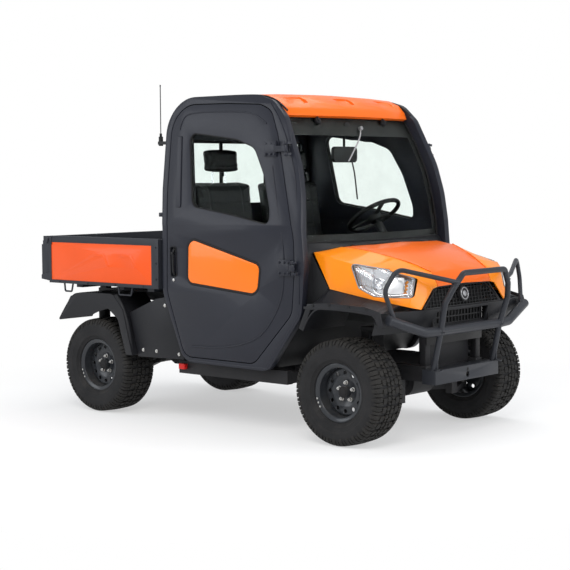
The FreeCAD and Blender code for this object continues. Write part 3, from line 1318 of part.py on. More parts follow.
# ---------------------------------------------------------------- rear body
def rear_fenders():
    """Rear fender: a folded band over the tyre with an outer skirt and a rolled front edge."""
    band = strip(REAR_FENDER_TOP, -REAR_FENDER_T, (-REAR_FENDER_Y, -REAR_FENDER_INNER_Y))
    skirt = side_prism([(-325.0, 598.0), (-18.0, 638.0), (60.0, 668.0), (154.0, 693.0, 30.0), (246.0, 630.0, 60.0),
                        (318.0, 404.0), (376.0, 404.0), (292.0, 690.0, 40.0), (205.0, 784.0), (-120.0, 784.0),
                        (-207.0, 757.0)], (-REAR_FENDER_Y, -REAR_FENDER_Y + 10.0))
    stay = box((-90.0, -30.0), (-REAR_FENDER_INNER_Y - 4.0, -TOP_RAIL_Y - TOP_RAIL_W / 2.0), (772.0, 784.0))
    side = fuse_all([band, skirt, stay])
    return both_sides(side)


def side_panels():
    panel = side_prism(SIDE_PANEL_EDGE, (-SIDE_PANEL_Y, -SIDE_PANEL_Y + SIDE_PANEL_T))
    stay = box((560.0, 620.0), (-SIDE_PANEL_Y + SIDE_PANEL_T, -TOP_RAIL_Y - TOP_RAIL_W / 2.0), (742.0, 766.0))
    return both_sides(fuse_all([panel, stay]))


def emboss(x):
    """A pressed hook-shaped mark in the bed's side panel."""
    return [(x, 1052.0, 4.0), (x + 88.0, 1052.0, 30.0), (x + 140.0, 962.0, 6.0), (x + 112.0, 962.0, 4.0),
            (x + 74.0, 1028.0, 20.0), (x, 1028.0, 4.0)]


def cargo_bed():
    """Flat-floored bed with framed side walls, a front wall, cross members and tipping lugs."""
    x0, x1 = BED_X
    w = BED_HALF_Y
    parts = [
        box(BED_X, (-w + 6.0, w - 6.0), BED_FLOOR_Z),
        box((x1 - BED_WALL, x1), (-w + 6.0, w - 6.0), (BED_FLOOR_Z[0], BED_TOP_Z)),
    ]
    wall = box(BED_X, (-w, -w + BED_WALL), (BED_FLOOR_Z[0], BED_TOP_Z))
    recess = box((BED_PANEL_X[0], BED_PANEL_X[1]), (-w - 1.0, -w + BED_PANEL_RECESS), BED_PANEL_Z)
    wall = wall.cut(recess)
    parts += both_sides(wall)
    for x in BED_CROSS_X:
        parts.append(box((x, x + 60.0), (-w + 60.0, w - 60.0), (BED_FLOOR_Z[0] - BED_CROSS_H, BED_FLOOR_Z[0])))
    for side in (-1.0, 1.0):
        # ear and pin at the tailgate's end
        ear_y = sorted((side * w, side * (w - TAILGATE_EAR_T)))
        parts.append(side_prism([(TAILGATE_X[0] - 1.0, TAILGATE_Z[0] - 4.0), (x0 + 1.0, TAILGATE_Z[0] - 14.0),
                                 (x0 + 1.0, TAILGATE_Z[0] + 40.0), (TAILGATE_X[0] - 1.0, TAILGATE_Z[0] + 26.0, 10.0)],
                                ear_y))
        parts.append(rod(V(TAILGATE_PIN_X, side * (w - 0.5), TAILGATE_PIN_Z),
                         V(TAILGATE_PIN_X, side * (w - 30.0), TAILGATE_PIN_Z), TAILGATE_PIN_R))
    shell = fuse_all(parts)
    fittings = []
    under_z = BED_FLOOR_Z[0]
    for side in (-1.0, 1.0):
        y = side * TOP_RAIL_Y
        lug = side_prism([(BED_PIVOT.x - 26.0, under_z), (BED_PIVOT.x - 16.0, BED_PIVOT.z - 14.0, 14.0),
                          (BED_PIVOT.x + 16.0, BED_PIVOT.z - 14.0, 14.0), (BED_PIVOT.x + 26.0, under_z)],
                         (y - 9.0, y + 9.0))
        pin = rod(V(BED_PIVOT.x, y - 32.0, BED_PIVOT.z), V(BED_PIVOT.x, y + 32.0, BED_PIVOT.z), BED_PIN_R)
        fittings.append(fuse_all([lug, pin]))
    # two ears and a pin for the hoist's rod eye
    eye = HOIST_EYE
    relief = box((eye.x - 46.0, eye.x + 46.0), (HOIST_Y - 17.0, HOIST_Y + 17.0), (800.0, under_z + 8.0))
    ears = []
    for y in (HOIST_Y - HOIST_EYE_W / 2.0 - 15.0, HOIST_Y + HOIST_EYE_W / 2.0 + 5.0):
        ears.append(side_prism([(eye.x - 40.0, under_z), (eye.x - 16.0, eye.z - 16.0, 14.0),
                                (eye.x + 16.0, eye.z - 16.0, 14.0), (eye.x + 40.0, under_z)], (y, y + 10.0)))
    ears.append(rod(V(eye.x, HOIST_Y - 26.0, eye.z), V(eye.x, HOIST_Y + 26.0, eye.z), HOIST_PIN_R))
    fittings.append(fuse_all(ears))
    # rope hooks below the side walls
    for x, length in HOOK_ROWS:
        hook = tube([V(x, -w + 14.0, under_z), V(x + 6.0, -w + 14.0, HOOK_LOW_Z),
                     V(x + length - 14.0, -w + 14.0, HOOK_LOW_Z), V(x + length, -w + 14.0, under_z)], 6.0, 10.0)
        flat = hook.common(box((x - 50.0, x + length + 50.0), (-w, -w + 40.0), (HOOK_LOW_Z - 10.0, under_z)))
        fittings += both_sides(flat)
    return [shell.cut(relief)] + fittings


def bed_side_panels():
    """Coloured sheet in each side wall, with two pressed marks."""
    w = BED_HALF_Y
    y0 = -w + BED_PANEL_RECESS - BED_PANEL_T
    x_span = (BED_PANEL_X[0] + SEAT_GAP, BED_PANEL_X[1] - SEAT_GAP)
    z_span = (BED_PANEL_Z[0] + SEAT_GAP, BED_PANEL_Z[1] - SEAT_GAP)
    sheet = box(x_span, (y0, y0 + BED_PANEL_T), z_span)
    marks = [side_prism(emboss(x), (y0 - 2.0, y0 + 1.0)) for x in (48.0, 306.0)]
    return both_sides(fuse_all([sheet] + marks))


def tailgate():
    """Tailgate with a ribbed outer face, hung on pins behind the bed's side walls."""
    w = BED_HALF_Y - TAILGATE_EAR_T - 0.5
    x0, x1 = TAILGATE_X
    z0, z1 = TAILGATE_Z
    plate = box((x1 - 40.0, x1), (-w, w), (z0, z1))
    parts = [plate]
    parts.append(box((x0 + 8.0, x1), (-w, w), (z0, z0 + 26.0)))
    parts.append(box((x0 + 12.0, x1), (-w, w), (z1 - 60.0, z1 - 30.0)))
    for y in (-w, -w / 2.0 - 20.0, -20.0, w / 2.0 - 20.0, w - 40.0):
        parts.append(box((x0, x1), (y, y + 40.0), (z0 + 6.0, z1 - 56.0)))
    for side in (-1.0, 1.0):
        y = side * (w - 40.0)
        span = (min(y, side * w), max(y, side * w))
        parts.append(box((x1 - 56.0, x1), span, (z1 - 60.0, z1)))
    gate = fuse_all(parts)
    bore = rod(V(TAILGATE_PIN_X, -w + 25.0, TAILGATE_PIN_Z), V(TAILGATE_PIN_X, -w - 5.0, TAILGATE_PIN_Z),
               TAILGATE_PIN_R + PIN_FIT)
    return [gate.cut(bore).cut(mirrored(bore))]


def hoist_direction():
    run = HOIST_EYE.sub(HOIST_FOOT)
    run.normalize()
    return run


def hoist_barrel():
    run = hoist_direction()
    body = fuse_all([rod(HOIST_FOOT + run * 48.0, HOIST_FOOT + run * HOIST_BARREL_L, HOIST_BARREL_R),
                     rod(HOIST_FOOT, HOIST_FOOT + run * 50.0, HOIST_EYE_W / 2.0 - 1.0)])
    half = HOIST_EYE_W / 2.0
    eye = rod(HOIST_FOOT + V(0, -half, 0), HOIST_FOOT + V(0, half, 0), 24.0)
    body = fuse_all([body, eye])
    bore = rod(HOIST_FOOT + run * 56.0, HOIST_FOOT + run * (HOIST_BARREL_L - 20.0), HOIST_BORE_R)
    neck = rod(HOIST_FOOT + run * 60.0, HOIST_FOOT + run * (HOIST_BARREL_L + 5.0), HOIST_ROD_R + PIN_FIT)
    pin = rod(HOIST_FOOT + V(0, -60, 0), HOIST_FOOT + V(0, 60, 0), HOIST_PIN_R + PIN_FIT)
    return body.cut(bore).cut(neck).cut(pin)


def hoist_rod():
    run = hoist_direction()
    half = HOIST_EYE_W / 2.0
    shaft = rod(HOIST_FOOT + run * 60.0, HOIST_EYE - run * (HOIST_EYE_R - 6.0), HOIST_ROD_R)
    eye = rod(HOIST_EYE + V(0, -half, 0), HOIST_EYE + V(0, half, 0), HOIST_EYE_R)
    body = fuse_all([shaft, eye])
    return body.cut(rod(HOIST_EYE + V(0, -60, 0), HOIST_EYE + V(0, 60, 0), HOIST_EYE_BORE_R))


def antenna():
    """Whip aerial on a bracket behind the right roof rail."""
    surface_y = -SIDE_Y + lean_y(1752.0)
    frame_x = x_at([row[:2] for row in FRAME_EDGE[11:13]], 1752.0)
    bracket = box((566.0, frame_x - SEAT_GAP), (surface_y + 4.0, surface_y + 34.0), (1742.0, 1762.0))
    base = rod(V(578.0, surface_y + 19.0, 1762.0), V(578.0, surface_y + 19.0, 1792.0), 14.0)
    whip = rod(V(578.0, surface_y + 19.0, 1792.0), V(578.0, surface_y + 19.0, 2115.0), 3.0)
    return [fuse_all([bracket, base, whip])]


# ---------------------------------------------------------------- assembly and export
def assemble():
    nodes = wheels()
    nodes["chassis_frame"] = chassis_frame()
    nodes["front_suspension"] = front_suspension()
    nodes["rear_axle"] = rear_axle()
    nodes["engine_block"] = engine_block()
    nodes["driveline"] = driveline()
    nodes["cab_crossbars"] = cab_crossbars()
    nodes["floor_pan"] = floor_pan()
    nodes["rear_panel"] = rear_panel()
    nodes["rear_window"] = rear_window()
    nodes["roof"] = roof()
    nodes["windshield"] = windshield()
    nodes["dashboard"] = dashboard()
    nodes["steering_column"] = [steering_column()]
    nodes["steering_wheel"] = [steering_wheel()]
    nodes["seat_base"] = seat_base()
    nodes["seat_pads"] = seat_pads()
    nodes["headrests"] = headrests()
    nodes["interior_mirror"] = interior_mirror()
    nodes["cowl"] = cowl()
    nodes["front_fenders"] = front_fenders()
    nodes["nose_covers"] = nose_covers()
    nodes["headlights"] = headlights()
    nodes["hood"] = hood()
    nodes["grille"] = grille() + [lower_grille()]
    nodes["radiator"] = radiator()
    nodes["front_guard"] = front_guard()
    nodes["rear_fenders"] = rear_fenders()
    nodes["side_panels"] = side_panels()
    nodes["antenna"] = antenna()
    nodes["cargo_bed"] = cargo_bed()
    nodes["bed_side_panels"] = bed_side_panels()
    nodes["tailgate"] = tailgate()
    nodes["hoist_barrel"] = [hoist_barrel()]
    nodes["hoist_rod"] = [hoist_rod()]
    for name, make in (("cab_frame", cab_frame_right), ("door", door_right), ("door_glass", door_glass_right),
                       ("door_insert", door_insert_right), ("knuckle", knuckle_right)):
        right = make()
        nodes[name + "_right"] = [right]
        nodes[name + "_left"] = [mirrored(right)]
    return nodes


def main():
    os.makedirs("parts", exist_ok=True)
    for name, solids in sorted(assemble().items()):
        single = []
        for shape in solids:
            single += shape.Solids
        shape = single[0] if len(single) == 1 else Part.makeCompound(single)
        shape.translate(V(-MID_LENGTH_X, 0, 0))
        shape.exportStep(f"parts/{name}.step")
        span = shape.BoundBox
        size = f"x {span.XMin:.0f}..{span.XMax:.0f} y {span.YMin:.0f}..{span.YMax:.0f} z {span.ZMin:.0f}..{span.ZMax:.0f}"
        print(name, len(single), "solids", "valid" if shape.isValid() else "NOT VALID", size,
              f"{shape.Volume / 1e6:.2f} l")


main()
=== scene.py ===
import json
import math
import bpy
from mathutils import Matrix, Vector

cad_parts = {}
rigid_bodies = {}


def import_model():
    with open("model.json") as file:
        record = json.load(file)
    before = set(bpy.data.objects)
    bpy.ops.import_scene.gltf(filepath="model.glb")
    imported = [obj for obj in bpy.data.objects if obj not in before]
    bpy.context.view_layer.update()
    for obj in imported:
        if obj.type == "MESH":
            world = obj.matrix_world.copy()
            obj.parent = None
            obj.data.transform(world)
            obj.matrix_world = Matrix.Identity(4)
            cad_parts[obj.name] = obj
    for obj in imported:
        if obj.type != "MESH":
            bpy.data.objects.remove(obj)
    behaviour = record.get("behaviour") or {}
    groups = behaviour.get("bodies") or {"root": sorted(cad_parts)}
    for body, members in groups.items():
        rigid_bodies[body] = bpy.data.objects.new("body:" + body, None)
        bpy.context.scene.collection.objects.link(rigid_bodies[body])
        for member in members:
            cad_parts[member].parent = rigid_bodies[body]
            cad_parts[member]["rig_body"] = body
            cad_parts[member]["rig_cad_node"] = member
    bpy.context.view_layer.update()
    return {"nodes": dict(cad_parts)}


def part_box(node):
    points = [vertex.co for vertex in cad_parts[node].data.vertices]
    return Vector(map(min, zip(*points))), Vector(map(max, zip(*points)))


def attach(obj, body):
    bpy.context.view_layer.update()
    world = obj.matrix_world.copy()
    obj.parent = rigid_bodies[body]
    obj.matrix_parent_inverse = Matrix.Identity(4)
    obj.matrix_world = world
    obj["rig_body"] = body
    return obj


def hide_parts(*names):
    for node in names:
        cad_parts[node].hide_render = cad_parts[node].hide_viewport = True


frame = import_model()
nodes = frame["nodes"]
bpy.ops.object.select_all(action="DESELECT")

# ------------------------------------------------------------------ places
MM = 0.001
rim_low, rim_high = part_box("rim_rear_right")
REAR_AXLE_X = (rim_low.x + rim_high.x) / 2.0
AXLE_Z = 309.0
WHEELBASE = 2045.0
SIDE_Y = 740.0          # door skin below the belt line
BELT_Z = 1250.0
LEAN = 0.12             # inward lean of the cab side above the belt


def at(x, y, z):
    """A place in millimetres: forward of the rear axle, left, up."""
    return Vector((REAR_AXLE_X + x * MM, y * MM, z * MM))


def side_skin(side):
    """Places on the leaning cab side, with a distance out from the skin."""
    def place(x, z, out):
        return at(x, side * (SIDE_Y - LEAN * max(0.0, z - BELT_Z) + out), z)
    return place


def flat_side(y):
    def place(x, z, out):
        return at(x, y + math.copysign(out, y), z)
    return place


def facing_front(x):
    def place(y, z, out):
        return at(x + out, y, z)
    return place


def facing_up(z):
    def place(x, y, out):
        return at(x, y, z + out)
    return place


# ------------------------------------------------------------------ modelling tools
def only(piece):
    bpy.ops.object.select_all(action="DESELECT")
    piece.select_set(True)
    bpy.context.view_layer.objects.active = piece


def settle(piece):
    """Puts the piece's place, turn and size into its mesh."""
    only(piece)
    bpy.ops.object.transform_apply(location=True, rotation=True, scale=True)
    return piece


def edit(piece):
    only(piece)
    bpy.ops.object.mode_set(mode="EDIT")
    bpy.ops.mesh.select_all(action="SELECT")


def done():
    bpy.ops.object.mode_set(mode="OBJECT")


def apply_all(piece):
    only(piece)
    for modifier in list(piece.modifiers):
        bpy.ops.object.modifier_apply(modifier=modifier.name)


def smooth(piece, angle=35.0):
    only(piece)
    bpy.ops.object.shade_smooth_by_angle(angle=math.radians(angle))
    return piece


def rounded(piece, width, angle=35.0, segments=2):
    if width > 0.0:
        bevel = piece.modifiers.new("edge", "BEVEL")
        bevel.width = width * MM
        bevel.segments = segments
        bevel.limit_method = "ANGLE"
        bevel.angle_limit = math.radians(angle)
        bevel.use_clamp_overlap = True
        apply_all(piece)
    return smooth(piece)


def outward(piece):
    edit(piece)
    bpy.ops.mesh.remove_doubles(threshold=0.00001)
    bpy.ops.mesh.normals_make_consistent(inside=False)
    done()
    return piece


def joined(name, pieces):
    bpy.ops.object.select_all(action="DESELECT")
    for piece in pieces:
        piece.select_set(True)
    bpy.context.view_layer.objects.active = pieces[0]
    if len(pieces) > 1:
        bpy.ops.object.join()
    piece = bpy.context.view_layer.objects.active
    piece.name = name
    piece.data.name = name
    return piece


def copy_of(piece, name, matrix):
    """A copy with its own mesh, carried by a matrix; a mirrored one is turned right side out."""
    twin = piece.copy()
    twin.data = piece.data.copy()
    bpy.context.collection.objects.link(twin)
    twin.parent = None
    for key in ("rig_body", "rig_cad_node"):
        if key in twin:
            del twin[key]
    twin.name = name
    twin.data.name = name
    twin.data.transform(matrix)
    if matrix.determinant() < 0.0:
        twin.data.flip_normals()
    return twin


ACROSS = Matrix.Scale(-1.0, 4, Vector((0.0, 1.0, 0.0)))


def mirrored(piece, name):
    return copy_of(piece, name, ACROSS)


def drop(piece):
    bpy.data.objects.remove(piece)


def block(name, low, high, edge=1.5, segments=2):
    a, b = at(*low), at(*high)
    bpy.ops.mesh.primitive_cube_add(size=1.0, location=(a + b) / 2.0)
    piece = bpy.context.object
    piece.name = name
    piece.scale = b - a
    settle(piece)
    return rounded(piece, edge, segments=segments)


def rod(name, start, end, radius, sides=20, edge=0.0):
    """A round bar between two places; start and end are vectors from at()."""
    run = end - start
    bpy.ops.mesh.primitive_cylinder_add(vertices=sides, radius=radius * MM, depth=run.length,
                                        location=(start + end) / 2.0)
    piece = bpy.context.object
    piece.name = name
    piece.rotation_mode = "QUATERNION"
    piece.rotation_quaternion = Vector((0, 0, 1)).rotation_difference(run)
    settle(piece)
    return rounded(piece, edge)


def tube(name, points, radius, closed=False, kind="NURBS", resolution=5, order=3):
    """A round tube along a smooth line; finished as a mesh."""
    curve = bpy.data.curves.new(name, "CURVE")
    curve.dimensions = "3D"
    curve.bevel_depth = radius * MM
    curve.bevel_resolution = 3
    curve.resolution_u = resolution
    curve.use_fill_caps = not closed
    line = curve.splines.new(kind)
    line.points.add(len(points) - 1)
    for spot, point in zip(line.points, points):
        spot.co = (point.x, point.y, point.z, 1.0)
    line.use_cyclic_u = closed
    if kind == "NURBS":
        line.order_u = order
        line.use_endpoint_u = not closed
    piece = bpy.data.objects.new(name, curve)
    bpy.context.collection.objects.link(piece)
    only(piece)
    bpy.ops.object.convert(target="MESH")
    piece = bpy.context.object
    outward(piece)
    return smooth(piece, 50.0)


def plate(name, outline, place, low, high, edge=1.0, segments=2):
    """A flat-sided piece: an outline laid on a surface and extruded off it."""
    bpy.ops.mesh.primitive_circle_add(vertices=len(outline), fill_type="NGON")
    piece = bpy.context.object
    piece.name = name
    for vertex, (a, b) in zip(piece.data.vertices, outline):
        vertex.co = place(a, b, low)
    piece.matrix_world = Matrix.Identity(4)
    lift = place(*outline[0], high) - place(*outline[0], low)
    edit(piece)
    bpy.ops.mesh.extrude_region_move(TRANSFORM_OT_translate={"value": lift})
    bpy.ops.mesh.select_all(action="SELECT")
    bpy.ops.mesh.normals_make_consistent(inside=False)
    done()
    return rounded(piece, edge, segments=segments)


def curved(outline, steps=6):
    """An outline of (a, b, corner radius) rows with its corners drawn as arcs."""
    points = []
    count = len(outline)
    for index, (a, b, radius) in enumerate(outline):
        corner = Vector((a, b))
        before = Vector(outline[index - 1][:2]) - corner
        after = Vector(outline[(index + 1) % count][:2]) - corner
        half = before.angle(after) / 2.0
        reach = min(radius / math.tan(half), 0.49 * before.length, 0.49 * after.length)
        first = corner + before.normalized() * reach
        last = corner + after.normalized() * reach
        for step in range(steps + 1):
            share = step / steps
            near = first.lerp(corner, share)
            far = corner.lerp(last, share)
            points.append(tuple(near.lerp(far, share)))
    return points


def band(name, line, place, width, low, high, edge=1.0):
    """A strip of even width along an open line, laid on a surface."""
    left, right = [], []
    for index, point in enumerate(line):
        ahead = Vector(line[min(index + 1, len(line) - 1)])
        behind = Vector(line[max(index - 1, 0)])
        run = (ahead - behind).normalized()
        across = Vector((-run.y, run.x)) * width / 2.0
        left.append(tuple(Vector(point) + across))
        right.append(tuple(Vector(point) - across))
    return plate(name, left + right[::-1], place, low, high, edge)


def ring(name, profile, centre_y, steps=96):
    """A closed profile of (y, radius) rows spun round a wheel's axle line at the origin."""
    bpy.ops.mesh.primitive_circle_add(vertices=len(profile), fill_type="NOTHING")
    piece = bpy.context.object
    piece.name = name
    for vertex, (y, radius) in zip(piece.data.vertices, profile):
        vertex.co = Vector((0.0, (y + centre_y) * MM, radius * MM))
    piece.matrix_world = Matrix.Identity(4)
    edit(piece)
    bpy.ops.mesh.spin(steps=steps, angle=2.0 * math.pi, center=(0, 0, 0), axis=(0, 1, 0))
    done()
    outward(piece)
    return smooth(piece, 32.0)


def scattered(model, name, spots):
    """One copy of a small piece at each (place, direction), all in one mesh; the model goes."""
    copies = []
    for point, normal in spots:
        turn = Vector((0, 0, 1)).rotation_difference(Vector(normal)).to_matrix().to_4x4()
        copies.append(copy_of(model, name, Matrix.Translation(point) @ turn))
    drop(model)
    return joined(name, copies)


def hex_bolt(radius=7.0, height=6.0):
    """A flanged hexagon bolt head standing on the origin."""
    bpy.ops.mesh.primitive_cylinder_add(vertices=20, radius=radius * 1.45 * MM, depth=2.0 * MM,
                                        location=(0, 0, 1.0 * MM))
    washer = rounded(settle(bpy.context.object), 0.5)
    bpy.ops.mesh.primitive_cylinder_add(vertices=6, radius=radius * MM, depth=height * MM,
                                        location=(0, 0, (2.0 + height / 2.0) * MM))
    head = rounded(settle(bpy.context.object), 0.9, segments=1)
    return joined("bolt_head", [washer, head])


def push_clip(radius=9.0):
    """A round plastic trim clip with a dished middle."""
    bpy.ops.mesh.primitive_cylinder_add(vertices=24, radius=radius * MM, depth=3.0 * MM, location=(0, 0, 1.5 * MM))
    clip = settle(bpy.context.object)
    edit(clip)
    bpy.ops.mesh.select_all(action="DESELECT")
    done()
    for face in clip.data.polygons:
        face.select = face.normal.z > 0.9
    only(clip)
    bpy.ops.object.mode_set(mode="EDIT")
    bpy.ops.mesh.select_mode(type="FACE")
    bpy.ops.mesh.inset(thickness=radius * 0.3 * MM, depth=0.0)
    bpy.ops.mesh.inset(thickness=radius * 0.15 * MM, depth=-1.2 * MM)
    done()
    return rounded(clip, 0.5)


# ------------------------------------------------------------------ finishes
def group_tree(name, inputs, outputs):
    tree = bpy.data.node_groups.new(name, "ShaderNodeTree")
    for label, kind, value in inputs:
        socket = tree.interface.new_socket(label, in_out="INPUT", socket_type=kind)
        socket.default_value = value
    for label, kind in outputs:
        tree.interface.new_socket(label, in_out="OUTPUT", socket_type=kind)
    return tree, tree.nodes.new("NodeGroupInput"), tree.nodes.new("NodeGroupOutput")


FLOAT = "NodeSocketFloat"
COLOUR = "NodeSocketColor"


def noise(tree, vector, scale, detail=4.0, rough=0.55):
    node = tree.nodes.new("ShaderNodeTexNoise")
    node.inputs["Detail"].default_value = detail
    node.inputs["Roughness"].default_value = rough
    tree.links.new(vector, node.inputs["Vector"])
    put(tree, node.inputs["Scale"], scale)
    return node.outputs["Fac"]


def put(tree, socket, value):
    if hasattr(value, "links"):
        tree.links.new(value, socket)
    else:
        socket.default_value = value


def math_node(tree, kind, *values, clamp=False):
    node = tree.nodes.new("ShaderNodeMath")
    node.operation = kind
    node.use_clamp = clamp
    for socket, value in zip(node.inputs, values):
        put(tree, socket, value)
    return node.outputs[0]


def ranged(tree, value, low, high, to_low=0.0, to_high=1.0):
    node = tree.nodes.new("ShaderNodeMapRange")
    put(tree, node.inputs["Value"], value)
    put(tree, node.inputs["From Min"], low)
    put(tree, node.inputs["From Max"], high)
    put(tree, node.inputs["To Min"], to_low)
    put(tree, node.inputs["To Max"], to_high)
    return node.outputs["Result"]


def blend_colour(tree, share, first, second):
    node = tree.nodes.new("ShaderNodeMix")
    node.data_type = "RGBA"
    put(tree, node.inputs["Factor"], share)
    put(tree, node.inputs[6], first)
    put(tree, node.inputs[7], second)
    return node.outputs[2]


def object_place(tree):
    return tree.nodes.new("ShaderNodeTexCoord").outputs["Object"]


def build_surface_tone():
    """Colour patches, worn edges and settled dust, with the roughness that goes with them."""
    tree, start, end = group_tree("surface_tone", [
        ("Colour", COLOUR, (0.5, 0.5, 0.5, 1.0)), ("Worn Colour", COLOUR, (0.5, 0.5, 0.5, 1.0)),
        ("Dust Colour", COLOUR, (0.33, 0.29, 0.24, 1.0)), ("Patch Scale", FLOAT, 3.0), ("Patches", FLOAT, 0.1),
        ("Wear", FLOAT, 0.2), ("Dust", FLOAT, 0.2), ("Roughness", FLOAT, 0.4), ("Roughness Spread", FLOAT, 0.1)],
        [("Colour", COLOUR), ("Roughness", FLOAT)])
    place = object_place(tree)
    broad = noise(tree, place, start.outputs["Patch Scale"], 3.0)
    fine = noise(tree, place, 90.0, 5.0, 0.65)
    shade = ranged(tree, broad, 0.3, 0.7, -0.5, 0.5)
    gain = math_node(tree, "MULTIPLY_ADD", shade, start.outputs["Patches"], 1.0)
    toned = tree.nodes.new("ShaderNodeVectorMath")
    toned.operation = "SCALE"
    tree.links.new(start.outputs["Colour"], toned.inputs[0])
    tree.links.new(gain, toned.inputs["Scale"])
    geometry = tree.nodes.new("ShaderNodeNewGeometry")
    bevel = tree.nodes.new("ShaderNodeBevel")
    bevel.samples = 4
    bevel.inputs["Radius"].default_value = 0.003
    meet = tree.nodes.new("ShaderNodeVectorMath")
    meet.operation = "DOT_PRODUCT"
    tree.links.new(bevel.outputs[0], meet.inputs[0])
    tree.links.new(geometry.outputs["Normal"], meet.inputs[1])
    edge = ranged(tree, meet.outputs["Value"], 0.985, 0.80)
    patchy = ranged(tree, fine, 0.42, 0.62)
    worn = math_node(tree, "MULTIPLY", math_node(tree, "MULTIPLY", edge, patchy), start.outputs["Wear"], clamp=True)
    colour = blend_colour(tree, worn, toned.outputs[0], start.outputs["Worn Colour"])
    split = tree.nodes.new("ShaderNodeSeparateXYZ")
    tree.links.new(geometry.outputs["Normal"], split.inputs[0])
    height = tree.nodes.new("ShaderNodeSeparateXYZ")
    tree.links.new(place, height.inputs[0])
    upward = ranged(tree, split.outputs["Z"], 0.2, 1.0, 0.12, 1.0)
    low_down = ranged(tree, height.outputs["Z"], 1.0, 0.15, 0.25, 1.0)
    cloudy = ranged(tree, noise(tree, place, 9.0, 6.0, 0.7), 0.38, 0.72)
    dust = math_node(tree, "MULTIPLY", math_node(tree, "MULTIPLY", upward, low_down), cloudy)
    dust = math_node(tree, "MULTIPLY", dust, start.outputs["Dust"], clamp=True)
    colour = blend_colour(tree, dust, colour, start.outputs["Dust Colour"])
    tree.links.new(colour, end.inputs["Colour"])
    spread = math_node(tree, "MULTIPLY", ranged(tree, fine, 0.3, 0.7, -0.5, 0.5), start.outputs["Roughness Spread"])
    rough = math_node(tree, "ADD", start.outputs["Roughness"], spread)
    rough = math_node(tree, "ADD", rough, math_node(tree, "MULTIPLY", dust, 0.35), clamp=True)
    tree.links.new(rough, end.inputs["Roughness"])
    return tree


def build_paint_peel():
    tree, start, end = group_tree("paint_peel", [("Scale", FLOAT, 220.0)], [("Height", FLOAT)])
    place = object_place(tree)
    peel = noise(tree, place, start.outputs["Scale"], 2.0, 0.4)
    waves = noise(tree, place, 14.0, 1.0, 0.3)
    tree.links.new(math_node(tree, "MULTIPLY_ADD", waves, 0.6, peel), end.inputs["Height"])
    return tree


def build_moulded_grain():
    tree, start, end = group_tree("moulded_grain", [("Scale", FLOAT, 600.0)], [("Height", FLOAT)])
    place = object_place(tree)
    cells = tree.nodes.new("ShaderNodeTexVoronoi")
    cells.feature = "SMOOTH_F1"
    tree.links.new(place, cells.inputs["Vector"])
    tree.links.new(start.outputs["Scale"], cells.inputs["Scale"])
    grit = noise(tree, place, start.outputs["Scale"], 3.0, 0.6)
    tree.links.new(math_node(tree, "MULTIPLY_ADD", grit, 0.7, cells.outputs["Distance"]), end.inputs["Height"])
    return tree


def build_leather_grain():
    tree, start, end = group_tree("leather_grain", [("Scale", FLOAT, 300.0)], [("Height", FLOAT)])
    place = object_place(tree)
    cells = tree.nodes.new("ShaderNodeTexVoronoi")
    cells.feature = "DISTANCE_TO_EDGE"
    tree.links.new(place, cells.inputs["Vector"])
    tree.links.new(start.outputs["Scale"], cells.inputs["Scale"])
    folds = noise(tree, place, 40.0, 3.0, 0.5)
    crease = ranged(tree, cells.outputs["Distance"], 0.0, 0.12)
    tree.links.new(math_node(tree, "MULTIPLY_ADD", folds, 0.8, crease), end.inputs["Height"])
    return tree


def build_cast_pitting():
    tree, start, end = group_tree("cast_pitting", [("Scale", FLOAT, 150.0)], [("Height", FLOAT)])
    place = object_place(tree)
    grit = noise(tree, place, start.outputs["Scale"], 6.0, 0.7)
    lumps = noise(tree, place, 25.0, 2.0, 0.5)
    tree.links.new(math_node(tree, "MULTIPLY_ADD", lumps, 0.5, grit), end.inputs["Height"])
    return tree


SURFACE_TONE = build_surface_tone()
GRAINS = {"peel": build_paint_peel(), "moulded": build_moulded_grain(), "leather": build_leather_grain(),
          "cast": build_cast_pitting()}


PLAIN_SPECULAR = 0.24   # paint and plastic, so that dark pieces stay dark under the soft light
CLEAR_SPECULAR = 0.06
PLASTIC_IOR = 1.45
PANE_IOR = 1.01         # panes tint without bending what is seen through their coarse curve


